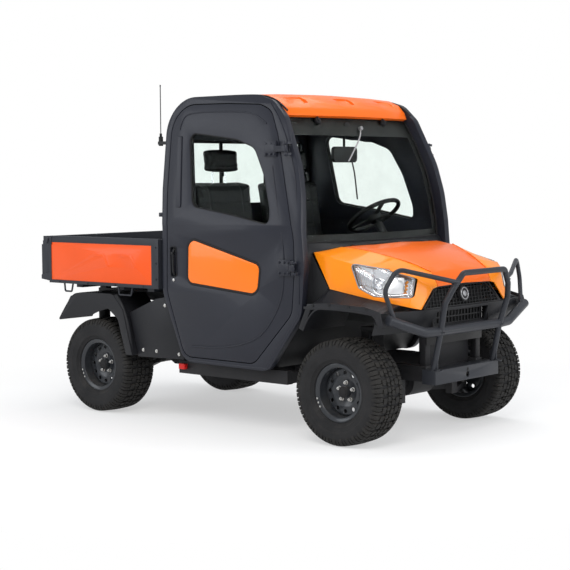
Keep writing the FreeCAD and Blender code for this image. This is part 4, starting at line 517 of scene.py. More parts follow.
def finish(name, colour, roughness, grain, grain_scale, grain_depth, metallic=0.0, coat=0.0, patches=0.10,
           patch_scale=3.0, worn=None, wear=0.15, dust=0.25, spread=0.10, round_edge=1.2, sheen=0.0):
    """A painted, moulded or metal finish; depth is the bump's height in millimetres."""
    material = bpy.data.materials.new(name)
    material.use_nodes = True
    tree = material.node_tree
    shader = tree.nodes["Principled BSDF"]
    tone = tree.nodes.new("ShaderNodeGroup")
    tone.node_tree = SURFACE_TONE
    worn = worn or tuple(min(1.0, value * 1.8 + 0.05) for value in colour)
    values = {"Colour": (*colour, 1.0), "Worn Colour": (*worn, 1.0), "Patch Scale": patch_scale, "Patches": patches,
              "Wear": wear, "Dust": dust, "Roughness": roughness, "Roughness Spread": spread}
    for label, value in values.items():
        tone.inputs[label].default_value = value
    tree.links.new(tone.outputs["Colour"], shader.inputs["Base Color"])
    tree.links.new(tone.outputs["Roughness"], shader.inputs["Roughness"])
    shader.inputs["Metallic"].default_value = metallic
    shader.inputs["Coat Weight"].default_value = coat
    shader.inputs["Coat Roughness"].default_value = 0.06
    shader.inputs["Specular IOR Level"].default_value = PLAIN_SPECULAR
    shader.inputs["Sheen Weight"].default_value = sheen
    surface = tree.nodes.new("ShaderNodeGroup")
    surface.node_tree = GRAINS[grain]
    surface.inputs["Scale"].default_value = grain_scale
    bump = tree.nodes.new("ShaderNodeBump")
    bump.inputs["Strength"].default_value = 0.6
    bump.inputs["Distance"].default_value = grain_depth * MM
    tree.links.new(surface.outputs["Height"], bump.inputs["Height"])
    if round_edge > 0.0:
        bevel = tree.nodes.new("ShaderNodeBevel")
        bevel.samples = 4
        bevel.inputs["Radius"].default_value = round_edge * MM
        tree.links.new(bevel.outputs[0], bump.inputs["Normal"])
    tree.links.new(bump.outputs[0], shader.inputs["Normal"])
    return material


def clear(name, tint, alpha, roughness=0.02, grain_depth=0.02, transmission=1.0, ior=PLASTIC_IOR):
    """Glass or clear plastic with faint smears."""
    material = bpy.data.materials.new(name)
    material.use_nodes = True
    tree = material.node_tree
    shader = tree.nodes["Principled BSDF"]
    place = object_place(tree)
    smear = noise(tree, place, 7.0, 5.0, 0.65)
    tree.links.new(blend_colour(tree, ranged(tree, smear, 0.35, 0.7), (*tint, 1.0),
                                (*[value * 0.94 for value in tint], 1.0)), shader.inputs["Base Color"])
    tree.links.new(ranged(tree, smear, 0.3, 0.8, roughness, roughness * 2.0 + 0.004), shader.inputs["Roughness"])
    bump = tree.nodes.new("ShaderNodeBump")
    bump.inputs["Strength"].default_value = 0.3
    bump.inputs["Distance"].default_value = grain_depth * MM
    tree.links.new(noise(tree, place, 30.0, 2.0), bump.inputs["Height"])
    tree.links.new(bump.outputs[0], shader.inputs["Normal"])
    shader.inputs["Transmission Weight"].default_value = transmission
    shader.inputs["Alpha"].default_value = alpha
    shader.inputs["Specular IOR Level"].default_value = CLEAR_SPECULAR
    shader.inputs["IOR"].default_value = ior
    return material


cab_paint = finish("cab_paint", (0.0135, 0.0150, 0.0225), 0.42, "peel", 260.0, 0.10, coat=0.05, patches=0.14, dust=0.02,
                   worn=(0.10, 0.11, 0.13))
orange_paint = finish("orange_paint", (0.84, 0.135, 0.004), 0.34, "peel", 180.0, 0.03, coat=0.12, patches=0.07,
                      dust=0.05, wear=0.10, worn=(0.95, 0.34, 0.10))
nose_orange = finish("nose_orange", (0.92, 0.250, 0.005), 0.32, "peel", 180.0, 0.03, coat=0.15, patches=0.06,
                     dust=0.02, wear=0.08)
bed_orange = finish("bed_orange", (0.80, 0.085, 0.005), 0.36, "peel", 180.0, 0.03, coat=0.10, patches=0.08, dust=0.08,
                    worn=(0.90, 0.30, 0.10))
insert_orange = finish("insert_orange", (0.88, 0.175, 0.006), 0.32, "peel", 200.0, 0.03, coat=0.15, patches=0.05,
                       dust=0.03, wear=0.05)
bed_paint = finish("bed_paint", (0.020, 0.022, 0.028), 0.46, "peel", 220.0, 0.12, patches=0.16, dust=0.06,
                   worn=(0.20, 0.20, 0.21), wear=0.35)
chassis_paint = finish("chassis_paint", (0.016, 0.016, 0.018), 0.52, "peel", 160.0, 0.20, patches=0.25, dust=0.15,
                       worn=(0.13, 0.11, 0.10), wear=0.3)
guard_paint = finish("guard_paint", (0.024, 0.026, 0.032), 0.40, "moulded", 900.0, 0.10, patches=0.12, dust=0.04,
                     worn=(0.17, 0.17, 0.18), wear=0.25)
black_plastic = finish("black_plastic", (0.009, 0.0095, 0.011), 0.50, "moulded", 700.0, 0.16, patches=0.20, dust=0.02,
                       worn=(0.10, 0.10, 0.11), wear=0.15)
fender_plastic = finish("fender_plastic", (0.011, 0.0115, 0.014), 0.46, "moulded", 650.0, 0.18, patches=0.18, dust=0.04,
                        worn=(0.11, 0.11, 0.12), wear=0.15)
grille_plastic = finish("grille_plastic", (0.012, 0.012, 0.013), 0.42, "moulded", 900.0, 0.06, patches=0.15, dust=0.04,
                        round_edge=0.5)
dash_plastic = finish("dash_plastic", (0.013, 0.014, 0.016), 0.55, "leather", 420.0, 0.20, patches=0.12, dust=0.03)
rubber = finish("rubber_seal", (0.010, 0.010, 0.011), 0.62, "moulded", 1100.0, 0.06, patches=0.15, dust=0.15, wear=0.0)
tyre_rubber = finish("tyre_rubber", (0.013, 0.013, 0.014), 0.72, "cast", 320.0, 0.35, patches=0.30, patch_scale=9.0,
                     dust=0.12, worn=(0.060, 0.056, 0.052), wear=0.5, round_edge=0.6)
tread_rubber = finish("tread_rubber", (0.017, 0.0165, 0.016), 0.80, "cast", 260.0, 0.60, patches=0.45, patch_scale=12.0,
                      dust=0.16, worn=(0.085, 0.076, 0.066), wear=0.7, round_edge=0.8)
rim_steel = finish("rim_steel", (0.026, 0.029, 0.034), 0.34, "peel", 240.0, 0.10, metallic=0.25, coat=0.25,
                   patches=0.15, dust=0.25, worn=(0.22, 0.22, 0.23), wear=0.3)
zinc = finish("zinc_bolts", (0.55, 0.54, 0.52), 0.34, "cast", 500.0, 0.05, metallic=1.0, patches=0.25, dust=0.25,
              round_edge=0.4)
chrome = finish("reflector_chrome", (0.82, 0.83, 0.85), 0.10, "peel", 300.0, 0.02, metallic=1.0, patches=0.05,
                dust=0.0, wear=0.0, spread=0.04, round_edge=0.5)
cast_metal = finish("cast_metal", (0.07, 0.068, 0.066), 0.52, "cast", 180.0, 0.50, metallic=0.6, patches=0.30,
                    dust=0.15)
cylinder_steel = finish("cylinder_steel", (0.030, 0.030, 0.033), 0.40, "peel", 200.0, 0.12, patches=0.2, dust=0.35)
rod_steel = finish("rod_steel", (0.60, 0.60, 0.61), 0.16, "peel", 500.0, 0.02, metallic=1.0, patches=0.08, dust=0.1)
vinyl = finish("seat_vinyl", (0.011, 0.012, 0.014), 0.50, "leather", 330.0, 0.45, patches=0.12, dust=0.0, wear=0.0,
               round_edge=0.0)
warm_grey = finish("reflector_grey", (0.32, 0.32, 0.33), 0.30, "moulded", 500.0, 0.05, metallic=0.6, patches=0.1)
lamp_bright = finish("lamp_bright", (0.90, 0.91, 0.92), 0.16, "peel", 300.0, 0.01, metallic=0.25, patches=0.03,
                     dust=0.0, wear=0.0)
red_plastic = finish("red_plastic", (0.55, 0.015, 0.012), 0.34, "moulded", 700.0, 0.05, patches=0.12)
glass = clear("window_glass", (0.93, 0.985, 0.96), 1.0, 0.0, 0.0, ior=PANE_IOR)
screen_glass = clear("screen_glass", (0.95, 0.99, 0.97), 1.0, 0.0, 0.0, ior=PANE_IOR)
lens_clear = clear("lamp_lens", (0.97, 0.98, 1.0), 0.22, 0.02)
lens_amber = clear("amber_lens", (0.95, 0.34, 0.02), 0.85, 0.06, transmission=0.5)


def fitted(piece, body, material, slot):
    """Gives a finished piece its material and its body; the record's slot is not used."""
    piece.data.materials.clear()
    piece.data.materials.append(material)
    for face in piece.data.polygons:
        face.material_index = 0
    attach(piece, body)
    return piece


def both_sides(piece, name, body_right, body_left, material, slot):
    """Fits a piece made for the right side and its mirror copy for the left."""
    twin = mirrored(piece, name + "_left")
    piece.name = name + "_right"
    fitted(piece, body_right, material, slot)
    fitted(twin, body_left, material, slot)


# ------------------------------------------------------------------ panels carried over from the frame
def softened(node, material, edge=1.2, angle=32.0):
    """A merged copy of a node with softened edges, which stands for it."""
    source = nodes[node]
    body = source["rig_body"]
    piece = copy_of(source, node + "_panel", Matrix.Identity(4))
    edit(piece)
    bpy.ops.mesh.remove_doubles(threshold=0.00002)
    bpy.ops.mesh.dissolve_limited(angle_limit=math.radians(0.6))
    bpy.ops.mesh.normals_make_consistent(inside=False)
    done()
    if edge > 0.0:
        rounded(piece, edge, 40.0)
    smooth(piece, angle)
    piece.data.materials.clear()
    piece.data.materials.append(material)
    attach(piece, body)
    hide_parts(node)
    return piece


SOFTENED = [
    ("cab_frame_right", cab_paint, 1.6), ("cab_frame_left", cab_paint, 1.6), ("door_right", cab_paint, 1.6),
    ("door_left", cab_paint, 1.6), ("cab_crossbars", cab_paint, 1.0), ("rear_panel", cab_paint, 1.4),
    ("roof", orange_paint, 2.0), ("hood", orange_paint, 1.0), ("nose_covers", nose_orange, 1.0),
    ("door_insert_right", insert_orange, 1.0), ("door_insert_left", insert_orange, 1.0),
    ("bed_side_panels", bed_orange, 0.8), ("cargo_bed", bed_paint, 1.4), ("tailgate", bed_paint, 1.6),
    ("front_guard", guard_paint, 1.2), ("front_fenders", fender_plastic, 1.4), ("rear_fenders", fender_plastic, 1.4),
    ("side_panels", fender_plastic, 1.4), ("cowl", black_plastic, 1.2), ("grille", grille_plastic, 0.4),
    ("dashboard", dash_plastic, 1.5), ("floor_pan", black_plastic, 1.0), ("seat_base", black_plastic, 1.5),
    ("chassis_frame", chassis_paint, 1.2), ("front_suspension", chassis_paint, 1.0), ("rear_axle", chassis_paint, 1.0),
    ("driveline", chassis_paint, 1.0), ("engine_block", cast_metal, 1.5), ("radiator", chassis_paint, 0.8),
    ("knuckle_right", cast_metal, 1.0), ("knuckle_left", cast_metal, 1.0), ("hoist_barrel", cylinder_steel, 1.0),
    ("hoist_rod", rod_steel, 0.8), ("rim_front_right", rim_steel, 0.8), ("rim_front_left", rim_steel, 0.8),
    ("rim_rear_right", rim_steel, 0.8), ("rim_rear_left", rim_steel, 0.8), ("windshield", screen_glass, 0.0),
    ("rear_window", glass, 0.0), ("door_glass_right", glass, 0.0), ("door_glass_left", glass, 0.0),
    ("steering_column", black_plastic, 0.8), ("steering_wheel", black_plastic, 0.8), ("antenna", black_plastic, 0.0),
    ("interior_mirror", black_plastic, 1.5),
]
for node, material, edge in SOFTENED:
    softened(node, material, edge)

# ------------------------------------------------------------------ tyres and wheels
TREAD_R = 297.0          # carcass under the lugs
SHOULDER = 98.0          # half width where the shoulder arc starts
SHOULDER_R = 26.0
LUG_H = 12.0
PITCHES = 36
PITCH = 2.0 * math.pi * (TREAD_R + LUG_H) / PITCHES


def carcass_place(v, h):
    """Half-section of the carcass: distance v along it from the crown, height h above it."""
    side = math.copysign(1.0, v)
    run = abs(v)
    turn = SHOULDER_R * math.pi / 2.0
    if run <= SHOULDER:
        return v, TREAD_R - 4.0 * (run / SHOULDER) ** 2 + h
    if run <= SHOULDER + turn:
        angle = (run - SHOULDER) / SHOULDER_R
        return (side * (SHOULDER + (SHOULDER_R + h) * math.sin(angle)),
                TREAD_R - 4.0 - SHOULDER_R + (SHOULDER_R + h) * math.cos(angle))
    return side * (SHOULDER + SHOULDER_R + h), TREAD_R - 4.0 - SHOULDER_R - (run - SHOULDER - turn)


def tyre_carcass():
    half = [(0.0, TREAD_R), (50.0, 296.0), (SHOULDER, 293.0), (107.0, 291.3), (116.0, 285.4), (122.2, 276.0),
            (123.8, 268.0), (124.6, 262.0), (125.4, 261.0), (126.0, 252.0), (126.4, 240.0), (126.2, 232.0),
            (125.4, 231.0), (125.6, 226.0), (124.4, 225.0), (122.5, 212.0), (119.0, 198.0), (118.8, 195.0),
            (117.2, 194.0), (112.0, 184.0), (108.0, 179.5), (107.6, 176.0), (103.0, 172.4), (99.5, 170.4),
            (97.0, 169.8), (91.0, 169.6), (89.0, 153.0), (40.0, 152.6)]
    profile = half + [(-y, radius) for y, radius in half[::-1] if y > 0.0]
    return ring("carcass", profile, 0.0, 120)


# tread blocks of one pitch as outlines of (along, across), mirrored in part from side to side
TREAD_BLOCKS = [
    [(3, -30), (27, -34), (31, -14), (24, -4), (5, -7)],
    [(29, 5), (48, 2), (51, 24), (47, 33), (25, 30), (23, 14)],
    [(6, 2), (20, 6), (18, 26), (4, 24)],
    [(34, -28), (49, -25), (50, -6), (36, -9)],
    [(10, -70), (38, -72), (42, -56), (36, -42), (8, -38)],
    [(14, 40), (44, 38), (48, 54), (42, 72), (12, 70)],
    [(4, -79), (26, -81), (28, -104), (24, -150), (6, -150), (2, -104)],
    [(32, -78), (49, -77), (50, -104), (47, -132), (34, -132), (32, -104)],
    [(30, 79), (52, 77), (54, 104), (50, 150), (32, 150), (28, 104)],
    [(5, 80), (23, 79), (25, 104), (22, 132), (8, 132), (4, 104)],
]


def tread_pitch():
    """All lugs of one pitch, drawn flat, then wrapped over the carcass."""
    lugs = []
    for outline in TREAD_BLOCKS:
        bpy.ops.mesh.primitive_circle_add(vertices=len(outline), fill_type="NGON")
        lug = bpy.context.object
        for vertex, (along, across) in zip(lug.data.vertices, outline):
            vertex.co = Vector((along * PITCH / 54.0, across, 0.0))
        lug.matrix_world = Matrix.Identity(4)
        edit(lug)
        bpy.ops.mesh.normals_make_consistent(inside=False)
        bpy.ops.mesh.extrude_region_move(TRANSFORM_OT_translate={"value": (0.0, 0.0, LUG_H)})
        bpy.ops.mesh.select_all(action="SELECT")
        bpy.ops.mesh.normals_make_consistent(inside=False)
        for cut in (100.0, 113.0, 126.0, 139.0):
            for side in (-1.0, 1.0):
                bpy.ops.mesh.select_all(action="SELECT")
                bpy.ops.mesh.bisect(plane_co=(0.0, side * cut, 0.0), plane_no=(0.0, 1.0, 0.0))
        done()
        bevel = lug.modifiers.new("edge", "BEVEL")
        bevel.width = 1.6
        bevel.segments = 1
        bevel.limit_method = "ANGLE"
        bevel.angle_limit = math.radians(40.0)
        apply_all(lug)
        lugs.append(lug)
    pitch = joined("tread_pitch", lugs)
    for vertex in pitch.data.vertices:
        along, v, h = vertex.co
        fade = max(0.02, 1.0 - max(0.0, abs(v) - 105.0) / 46.0)
        y, radius = carcass_place(v, min(h, LUG_H) * fade - 0.4)
        angle = along / (TREAD_R + LUG_H)
        vertex.co = Vector((radius * math.sin(angle), y, radius * math.cos(angle))) * MM
    return pitch


def tread_band():
    pitch = tread_pitch()
    turns = [copy_of(pitch, "tread", Matrix.Rotation(2.0 * math.pi * index / PITCHES, 4, "Y"))
             for index in range(PITCHES)]
    drop(pitch)
    band_piece = joined("tread", turns)
    return smooth(band_piece, 30.0)


def wheel_fittings():
    """Lug nuts, hub cap, valve and balance weights of a right-hand wheel, centred on its axle."""
    bright, dark = [], []
    for index in range(5):
        angle = math.radians(90.0 + 72.0 * index)
        x, z = 52.0 * math.cos(angle), 52.0 * math.sin(angle)
        foot, tip = Vector((x, -22.0, z)) * MM, Vector((x, -41.0, z)) * MM
        bright.append(rod("nut", foot, foot.lerp(tip, 0.25), 13.0, 20, 0.8))
        bright.append(rod("nut", foot.lerp(tip, 0.2), tip, 10.5, 6, 1.6))
        bright.append(rod("stud", tip, tip + Vector((0, -7.0, 0)) * MM, 5.0, 12, 0.8))
    cap = rod("hub_cap", Vector((0, -51.0, 0)) * MM, Vector((0, -57.0, 0)) * MM, 33.0, 36, 2.4)
    only(cap)
    dark.append(cap)
    dark.append(rod("hub_dome", Vector((0, -56.5, 0)) * MM, Vector((0, -60.0, 0)) * MM, 24.0, 32, 2.0))
    valve_angle = math.radians(28.0)
    spot = Vector((141.0 * math.cos(valve_angle), -40.0, 141.0 * math.sin(valve_angle))) * MM
    dark.append(rod("valve", spot, spot + Vector((-8.0, -26.0, -5.0)) * MM, 3.8, 14, 0.5))
    dark.append(rod("valve_cap", spot + Vector((-8.0, -26.0, -5.0)) * MM, spot + Vector((-11.0, -37.0, -7.0)) * MM,
                    4.8, 14, 0.8))
    for angle in (math.radians(196.0), math.radians(205.0), math.radians(214.0)):
        spot = Vector((160.0 * math.cos(angle), -96.0, 160.0 * math.sin(angle))) * MM
        bright.append(rod("weight", spot, spot + Vector((0, -7.0, 0)) * MM, 6.0, 8, 1.2))
    return joined("lug_nuts", bright), joined("hub_parts", dark)


def wheels():
    carcass, tread = tyre_carcass(), tread_band()
    nuts, hub = wheel_fittings()
    for end, x, half_track in (("front", WHEELBASE, 621.0), ("rear", 0.0, 596.0)):
        for side, y in (("right", -half_track), ("left", half_track)):
            body = f"wheel_{end}_{side}"
            place = Matrix.Translation(at(x, y, AXLE_Z))
            turned = place @ (ACROSS if side == "left" else Matrix.Identity(4))
            tyre = fitted(copy_of(carcass, f"tyre_{end}_{side}_carcass", turned), body, tyre_rubber, "tyre_rubber")
            lugs = fitted(copy_of(tread, f"tyre_{end}_{side}_tread", turned), body, tread_rubber, "tyre_rubber")
            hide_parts(f"tyre_{end}_{side}")
            fitted(copy_of(nuts, f"lug_nuts_{end}_{side}", turned), body, zinc, "axle_metal")
            fitted(copy_of(hub, f"hub_parts_{end}_{side}", turned), body, rubber, "black_plastic")
            lugs.data.name = lugs.name
    for piece in (carcass, tread, nuts, hub):
        drop(piece)


wheels()


# ------------------------------------------------------------------ doors and cab side
def face_outline(node):
    """The outer outline of a flat node on the cab side, as (x, z) in millimetres, in order round it."""
    low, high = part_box(node)
    points = set()
    for vertex in nodes[node].data.vertices:
        x, z = (vertex.co.x - REAR_AXLE_X) / MM, vertex.co.z / MM
        skin = SIDE_Y - LEAN * max(0.0, z - BELT_Z)
        points.add((round(x, 1), round(z, 1), round(skin - abs(vertex.co.y) / MM, 1)))
    shallow = min(point[2] for point in points)
    outline = [(x, z) for x, z, depth in points if depth < shallow + 1.5]
    middle_x = ((low.x + high.x) / 2.0 - REAR_AXLE_X) / MM
    middle_z = (low.z + high.z) / 2.0 / MM
    outline.sort(key=lambda point: math.atan2(point[1] - middle_z, point[0] - middle_x))
    kept = []
    for point in outline:
        if not kept or math.dist(point, kept[-1]) > 2.0:
            kept.append(point)
    return kept


def grown(outline, distance):
    """An outline moved outward by a distance along its own corners' bisectors."""
    moved = []
    for index, point in enumerate(outline):
        before = Vector(outline[index - 1])
        after = Vector(outline[(index + 1) % len(outline)])
        run = (after - before).normalized()
        moved.append((point[0] + run.y * distance, point[1] - run.x * distance))
    return moved


def seal(name, outline, place, radius, out):
    """A closed rubber bead along an outline on a surface."""
    points = [place(x, z, out) for x, z in outline]
    return tube(name, points, radius, closed=True, kind="POLY")


def door_trim():
    skin = side_skin(-1.0)
    window = face_outline("door_glass_right")
    both_sides(seal("window_seal", window, skin, 7.0, -8.5), "window_seal", "door_right", "door_left", rubber,
               "black_plastic")
    inner_seal = seal("window_inner_seal", window, skin, 6.0, -24.0)
    both_sides(inner_seal, "window_inner_seal", "door_right", "door_left", rubber, "black_plastic")
    insert = face_outline("door_insert_right")
    both_sides(seal("insert_surround", grown(insert, 8.0), skin, 9.5, -6.5), "insert_surround", "door_right",
               "door_left", rubber, "black_plastic")
    # raised moulding behind the window and the pressed line round the lower door
    moulding = plate("door_moulding", curved([(772, 1352, 12), (814, 1352, 12), (782, 1792, 12), (744, 1792, 12)], 4),
                     skin, -1.0, 7.0, 3.5, 3)
    both_sides(moulding, "door_moulding", "door_right", "door_left", cab_paint, "cab_paint")
    line = [(905, 498), (1392, 498), (1640, 776), (1664, 1000), (1654, 1170), (1592, 1400), (1540, 1600)]
    crease = tube("door_crease", [skin(x, z, 0.0) for x, z in line], 5.0)
    both_sides(crease, "door_crease", "door_right", "door_left", cab_paint, "cab_paint")
    upper = [(756, 1830), (772, 1905), (850, 1935), (1150, 1932), (1390, 1918), (1470, 1850)]
    both_sides(tube("door_upper_crease", [skin(x, z, 0.0) for x, z in upper], 4.5), "door_upper_crease", "door_right",
               "door_left", cab_paint, "cab_paint")
    # handle: cup rim, pull bar, button and lock barrel
    cup = curved([(729, 1108, 12), (733, 917, 18), (786, 925, 22), (780, 1108, 12)], 4)
    cup_rim = seal("handle_rim", cup, skin, 3.2, 0.5)
    grip = tube("handle_grip", [skin(x, z, out) for x, z, out in
                                ((757, 1100, -12), (757, 1084, 2), (757, 1050, 6), (758, 975, 6), (758, 944, 2),
                                 (758, 930, -12))], 8.5)
    button = rod("handle_button", skin(757, 1068, 5), skin(757, 1068, 17), 9.0, 20, 2.0)
    lock = rod("door_lock", skin(757, 902, -1), skin(757, 902, 4), 9.5, 24, 1.2)
    both_sides(joined("door_handle", [cup_rim, grip, button]), "door_handle", "door_right", "door_left",
               black_plastic, "black_plastic")
    both_sides(lock, "door_lock", "door_right", "door_left", zinc, "cylinder_steel")


def hinge_bolts():
    skin = side_skin(-1.0)
    spots = []
    for centre_z, front_x in ((1010.0, 1722.0), (1700.0, 1577.0)):
        for dx in (-84.0, -46.0, -16.0):
            for dz in (-32.0, 32.0):
                spots.append((skin(front_x + dx, centre_z + dz, 14.5), (0.0, -1.0, 0.0)))
    bolts = scattered(hex_bolt(6.5, 5.0), "hinge_bolts", spots)
    both_sides(bolts, "hinge_bolts", "door_right", "door_left", cab_paint, "cab_paint")


def frame_seals():
    """The dark rubber bulb in the gap between the door and the cab's side loop."""
    skin = side_skin(-1.0)
    edge = curved([(697, 830, 230), (843, 431, 90), (1421.5, 429, 90), (1719, 740, 110), (1740, 1000, 250),
                   (1734, 1190, 400), (1658, 1466, 500), (1569, 1776, 400), (1502.5, 1928, 90), (1416, 1965, 120),
                   (1150, 1979, 300), (685, 1985, 185), (687, 1460, 400), (705, 1220, 300)], 8)
    bulb = tube("door_gap_seal", [skin(x, z, -20.0) for x, z in edge], 2.6, closed=True, kind="POLY")
    both_sides(bulb, "door_gap_seal", "chassis", "chassis", rubber, "black_plastic")
    # folded lip along the front of the cab loop
    lip = [(1795, 800), (1801, 1000), (1768, 1430), (1727, 1608), (1600, 1880), (1512, 1972)]
    both_sides(tube("pillar_bead", [skin(x - 22, z, 1.0) for x, z in lip], 4.0), "pillar_bead", "chassis", "chassis",
               cab_paint, "cab_paint")
    step = tube("sill_tube", [skin(x, z, -6.0) for x, z in ((880, 408), (1500, 404), (1530, 412), (1772, 742))], 8.0)
    both_sides(step, "sill_tube", "chassis", "chassis", cab_paint, "cab_paint")


door_trim()
hinge_bolts()
frame_seals()


# ------------------------------------------------------------------ screen, roof and mirrors
SCREEN_ROWS = [(1150.0, 1736.0, 1850.0), (1400.0, 1712.0, 1802.0), (1570.0, 1678.0, 1750.0),
               (1750.0, 1606.0, 1662.0), (1896.0, 1524.0, 1566.0)]


def screen_half(z):
    return SIDE_Y - 45.0 - LEAN * max(0.0, z - BELT_Z) - 1.0


def screen_place(y, z, out):
    """A place on the bowed screen, with a distance ahead of it."""
    rows = SCREEN_ROWS
    index = 0
    while index < len(rows) - 2 and z > rows[index + 1][0]:
        index += 1
    (z0, e0, m0), (z1, e1, m1) = rows[index], rows[index + 1]
    share = (z - z0) / (z1 - z0)
    edge, middle = e0 + (e1 - e0) * share, m0 + (m1 - m0) * share
    half = screen_half(z)
    bow = middle - edge
    radius = (half * half + bow * bow) / (2.0 * bow)
    return at(middle - radius + math.sqrt(max(radius * radius - y * y, 1.0)) + out, y, z)


def screen_strip(name, low_z, high_z, half_share_low, half_share_high, out, steps=24, rows=6):
    """A thin curved sheet in front of or behind the screen between two heights and two shares of its half width."""
    bpy.ops.mesh.primitive_grid_add(x_subdivisions=steps, y_subdivisions=rows, size=2.0)
    piece = bpy.context.object
    piece.name = name
    for vertex in piece.data.vertices:
        z = low_z + (high_z - low_z) * (vertex.co.y + 1.0) / 2.0
        half = screen_half(z)
        low_y, high_y = half * half_share_low, half * half_share_high
        vertex.co = screen_place(low_y + (high_y - low_y) * (vertex.co.x + 1.0) / 2.0, z, out)
    piece.matrix_world = Matrix.Identity(4)
    wall = piece.modifiers.new("wall", "SOLIDIFY")
    wall.thickness = 1.2 * MM
    wall.offset = 0.0
    apply_all(piece)
    return smooth(outward(piece))


def screen_trim():
    """Black border fired into the glass, with the deep band under the roof, and the rubber round it."""
    pieces = [screen_strip("screen_band_top", 1782.0, 1895.0, -0.998, 0.998, -8.0),
              screen_strip("screen_band_foot", 1151.0, 1196.0, -0.998, 0.998, -8.0)]
    for side in (-1.0, 1.0):
        pieces.append(screen_strip("screen_band_side", 1194.0, 1784.0, side * 0.90, side * 0.998, -8.0, 8, 24))
    fitted(joined("screen_border", pieces), "chassis", rubber, "black_plastic")
    left = [screen_place(-screen_half(z) + 3.0, z, 1.0) for z in range(1156, 1896, 37)]
    top = [screen_place(y, 1893.0, 1.0) for y in range(-580, 600, 58)]
    right = [screen_place(screen_half(z) - 3.0, z, 1.0) for z in range(1894, 1150, -37)]
    foot = [screen_place(y, 1154.0, 1.0) for y in range(640, -650, -64)]
    fitted(tube("screen_seal", left + top + right + foot, 5.5, closed=True, kind="POLY"), "chassis", rubber,
           "black_plastic")
    bosses = []
    for y in (-325.0, 325.0):
        spot = screen_place(y, 1868.0, 0.0)
        lean = Vector((0.86, 0.0, 0.5))
        bosses.append(rod("screen_hinge", spot - lean * 0.004, spot + lean * 0.016, 22.0, 28, 4.0))
        bosses.append(rod("screen_hinge_pin", spot + lean * 0.014, spot + lean * 0.024, 12.0, 24, 3.0))
        top_spot = spot + Vector((-0.028, 0.0, 0.046))
        bosses.append(tube("screen_hinge_arm", [spot + lean * 0.012, spot + Vector((0.004, 0, 0.03)), top_spot], 9.0))
    fitted(joined("screen_hinges", bosses), "chassis", black_plastic, "black_plastic")
    motor_a = screen_place(-60.0, 1836.0, -62.0)
    motor = [rod("wiper_motor", motor_a, motor_a + Vector((0.052, 0.0, 0.0)), 32.0, 32, 4.0),
             block("wiper_gearbox", (1500, -60, 1800), (1540, 60, 1850), 5.0)]
    fitted(joined("wiper_motor", motor), "chassis", black_plastic, "black_plastic")
    pivot = screen_place(40.0, 1826.0, 4.0)
    arm = tube("wiper_arm", [pivot, screen_place(20.0, 1800.0, 16.0), screen_place(-130.0, 1690.0, 14.0),
                             screen_place(-212.0, 1626.0, 10.0)], 4.6)
    knob = rod("wiper_pivot", pivot - Vector((0.006, 0, 0)), pivot + Vector((0.016, 0, 0.008)), 13.0, 24, 3.0)
    fitted(joined("wiper_arm", [arm, knob]), "chassis", warm_grey, "cylinder_steel")
    blade = tube("wiper_blade", [screen_place(-170.0 - 10 * step, 1660.0 - 52 * step, 4.0) for step in range(6)], 4.5)
    fitted(blade, "chassis", rubber, "black_plastic")
    # prop latch that shows at the screen's right edge
    latch = [rod("screen_latch", screen_place(-560.0, 1560.0, -20.0), screen_place(-560.0, 1510.0, -20.0), 11.0, 20,
                 3.0),
             block("screen_latch_foot", (1636, -580, 1505), (1660, -548, 1520), 3.0)]
    fitted(joined("screen_latch", latch), "chassis", black_plastic, "black_plastic")


def roof_trim():
    """Dark headliner, drip rails and the seal between the roof and the side loops."""
    liner = plate("headliner", curved([(700, -560, 40), (1480, -560, 60), (1480, 560, 60), (700, 560, 40)], 5),
                  facing_up(1880.0), -4.0, 4.0, 3.0)
    fitted(liner, "chassis", black_plastic, "black_plastic")
    rail = tube("drip_rail", [at(x, -610.0, z) for x, z in
                              ((690, 1975), (760, 2018), (900, 2026), (1300, 2026), (1430, 2014), (1520, 1980),
                               (1585, 1925))], 6.0)
    both_sides(rail, "drip_rail", "chassis", "chassis", rubber, "black_plastic")
    slots = []
    for y in (-435.0, 0.0, 435.0):
        setback = 30.0 * (y / 601.0) ** 2
        slots.append(block("vent_slot", (1486 - setback, y - 74, 1962), (1500 - setback, y + 74, 1998), 3.0))
    fitted(joined("roof_vent_backs", slots), "chassis", black_plastic, "black_plastic")


def rear_window_trim():
    frame_x = (668.0, 682.0)
    bars = []
    for y in (-215.0, 215.0):
        bars.append(block("slider_post", (frame_x[0], y - 12, 1352), (frame_x[1], y + 12, 1766), 3.0))
    bars.append(block("slider_rail_low", (frame_x[0], -612, 1350), (frame_x[1], 612, 1366), 3.0))
    bars.append(block("slider_rail_high", (frame_x[0], -572, 1752), (frame_x[1], 572, 1768), 3.0))
    bars.append(block("slider_catch", (frame_x[1] - 2, -232, 1540), (frame_x[1] + 14, -196, 1580), 4.0))
    edge = curved([(-628, 1350, 30), (628, 1350, 30), (580, 1768, 30), (-580, 1768, 30)], 4)
    outer = facing_front(662.0)
    bars.append(tube("rear_window_seal", [outer(y, z, 0.0) for y, z in edge], 6.5, closed=True, kind="POLY"))
    fitted(joined("rear_window_frame", bars), "chassis", rubber, "black_plastic")


screen_trim()
roof_trim()
rear_window_trim()


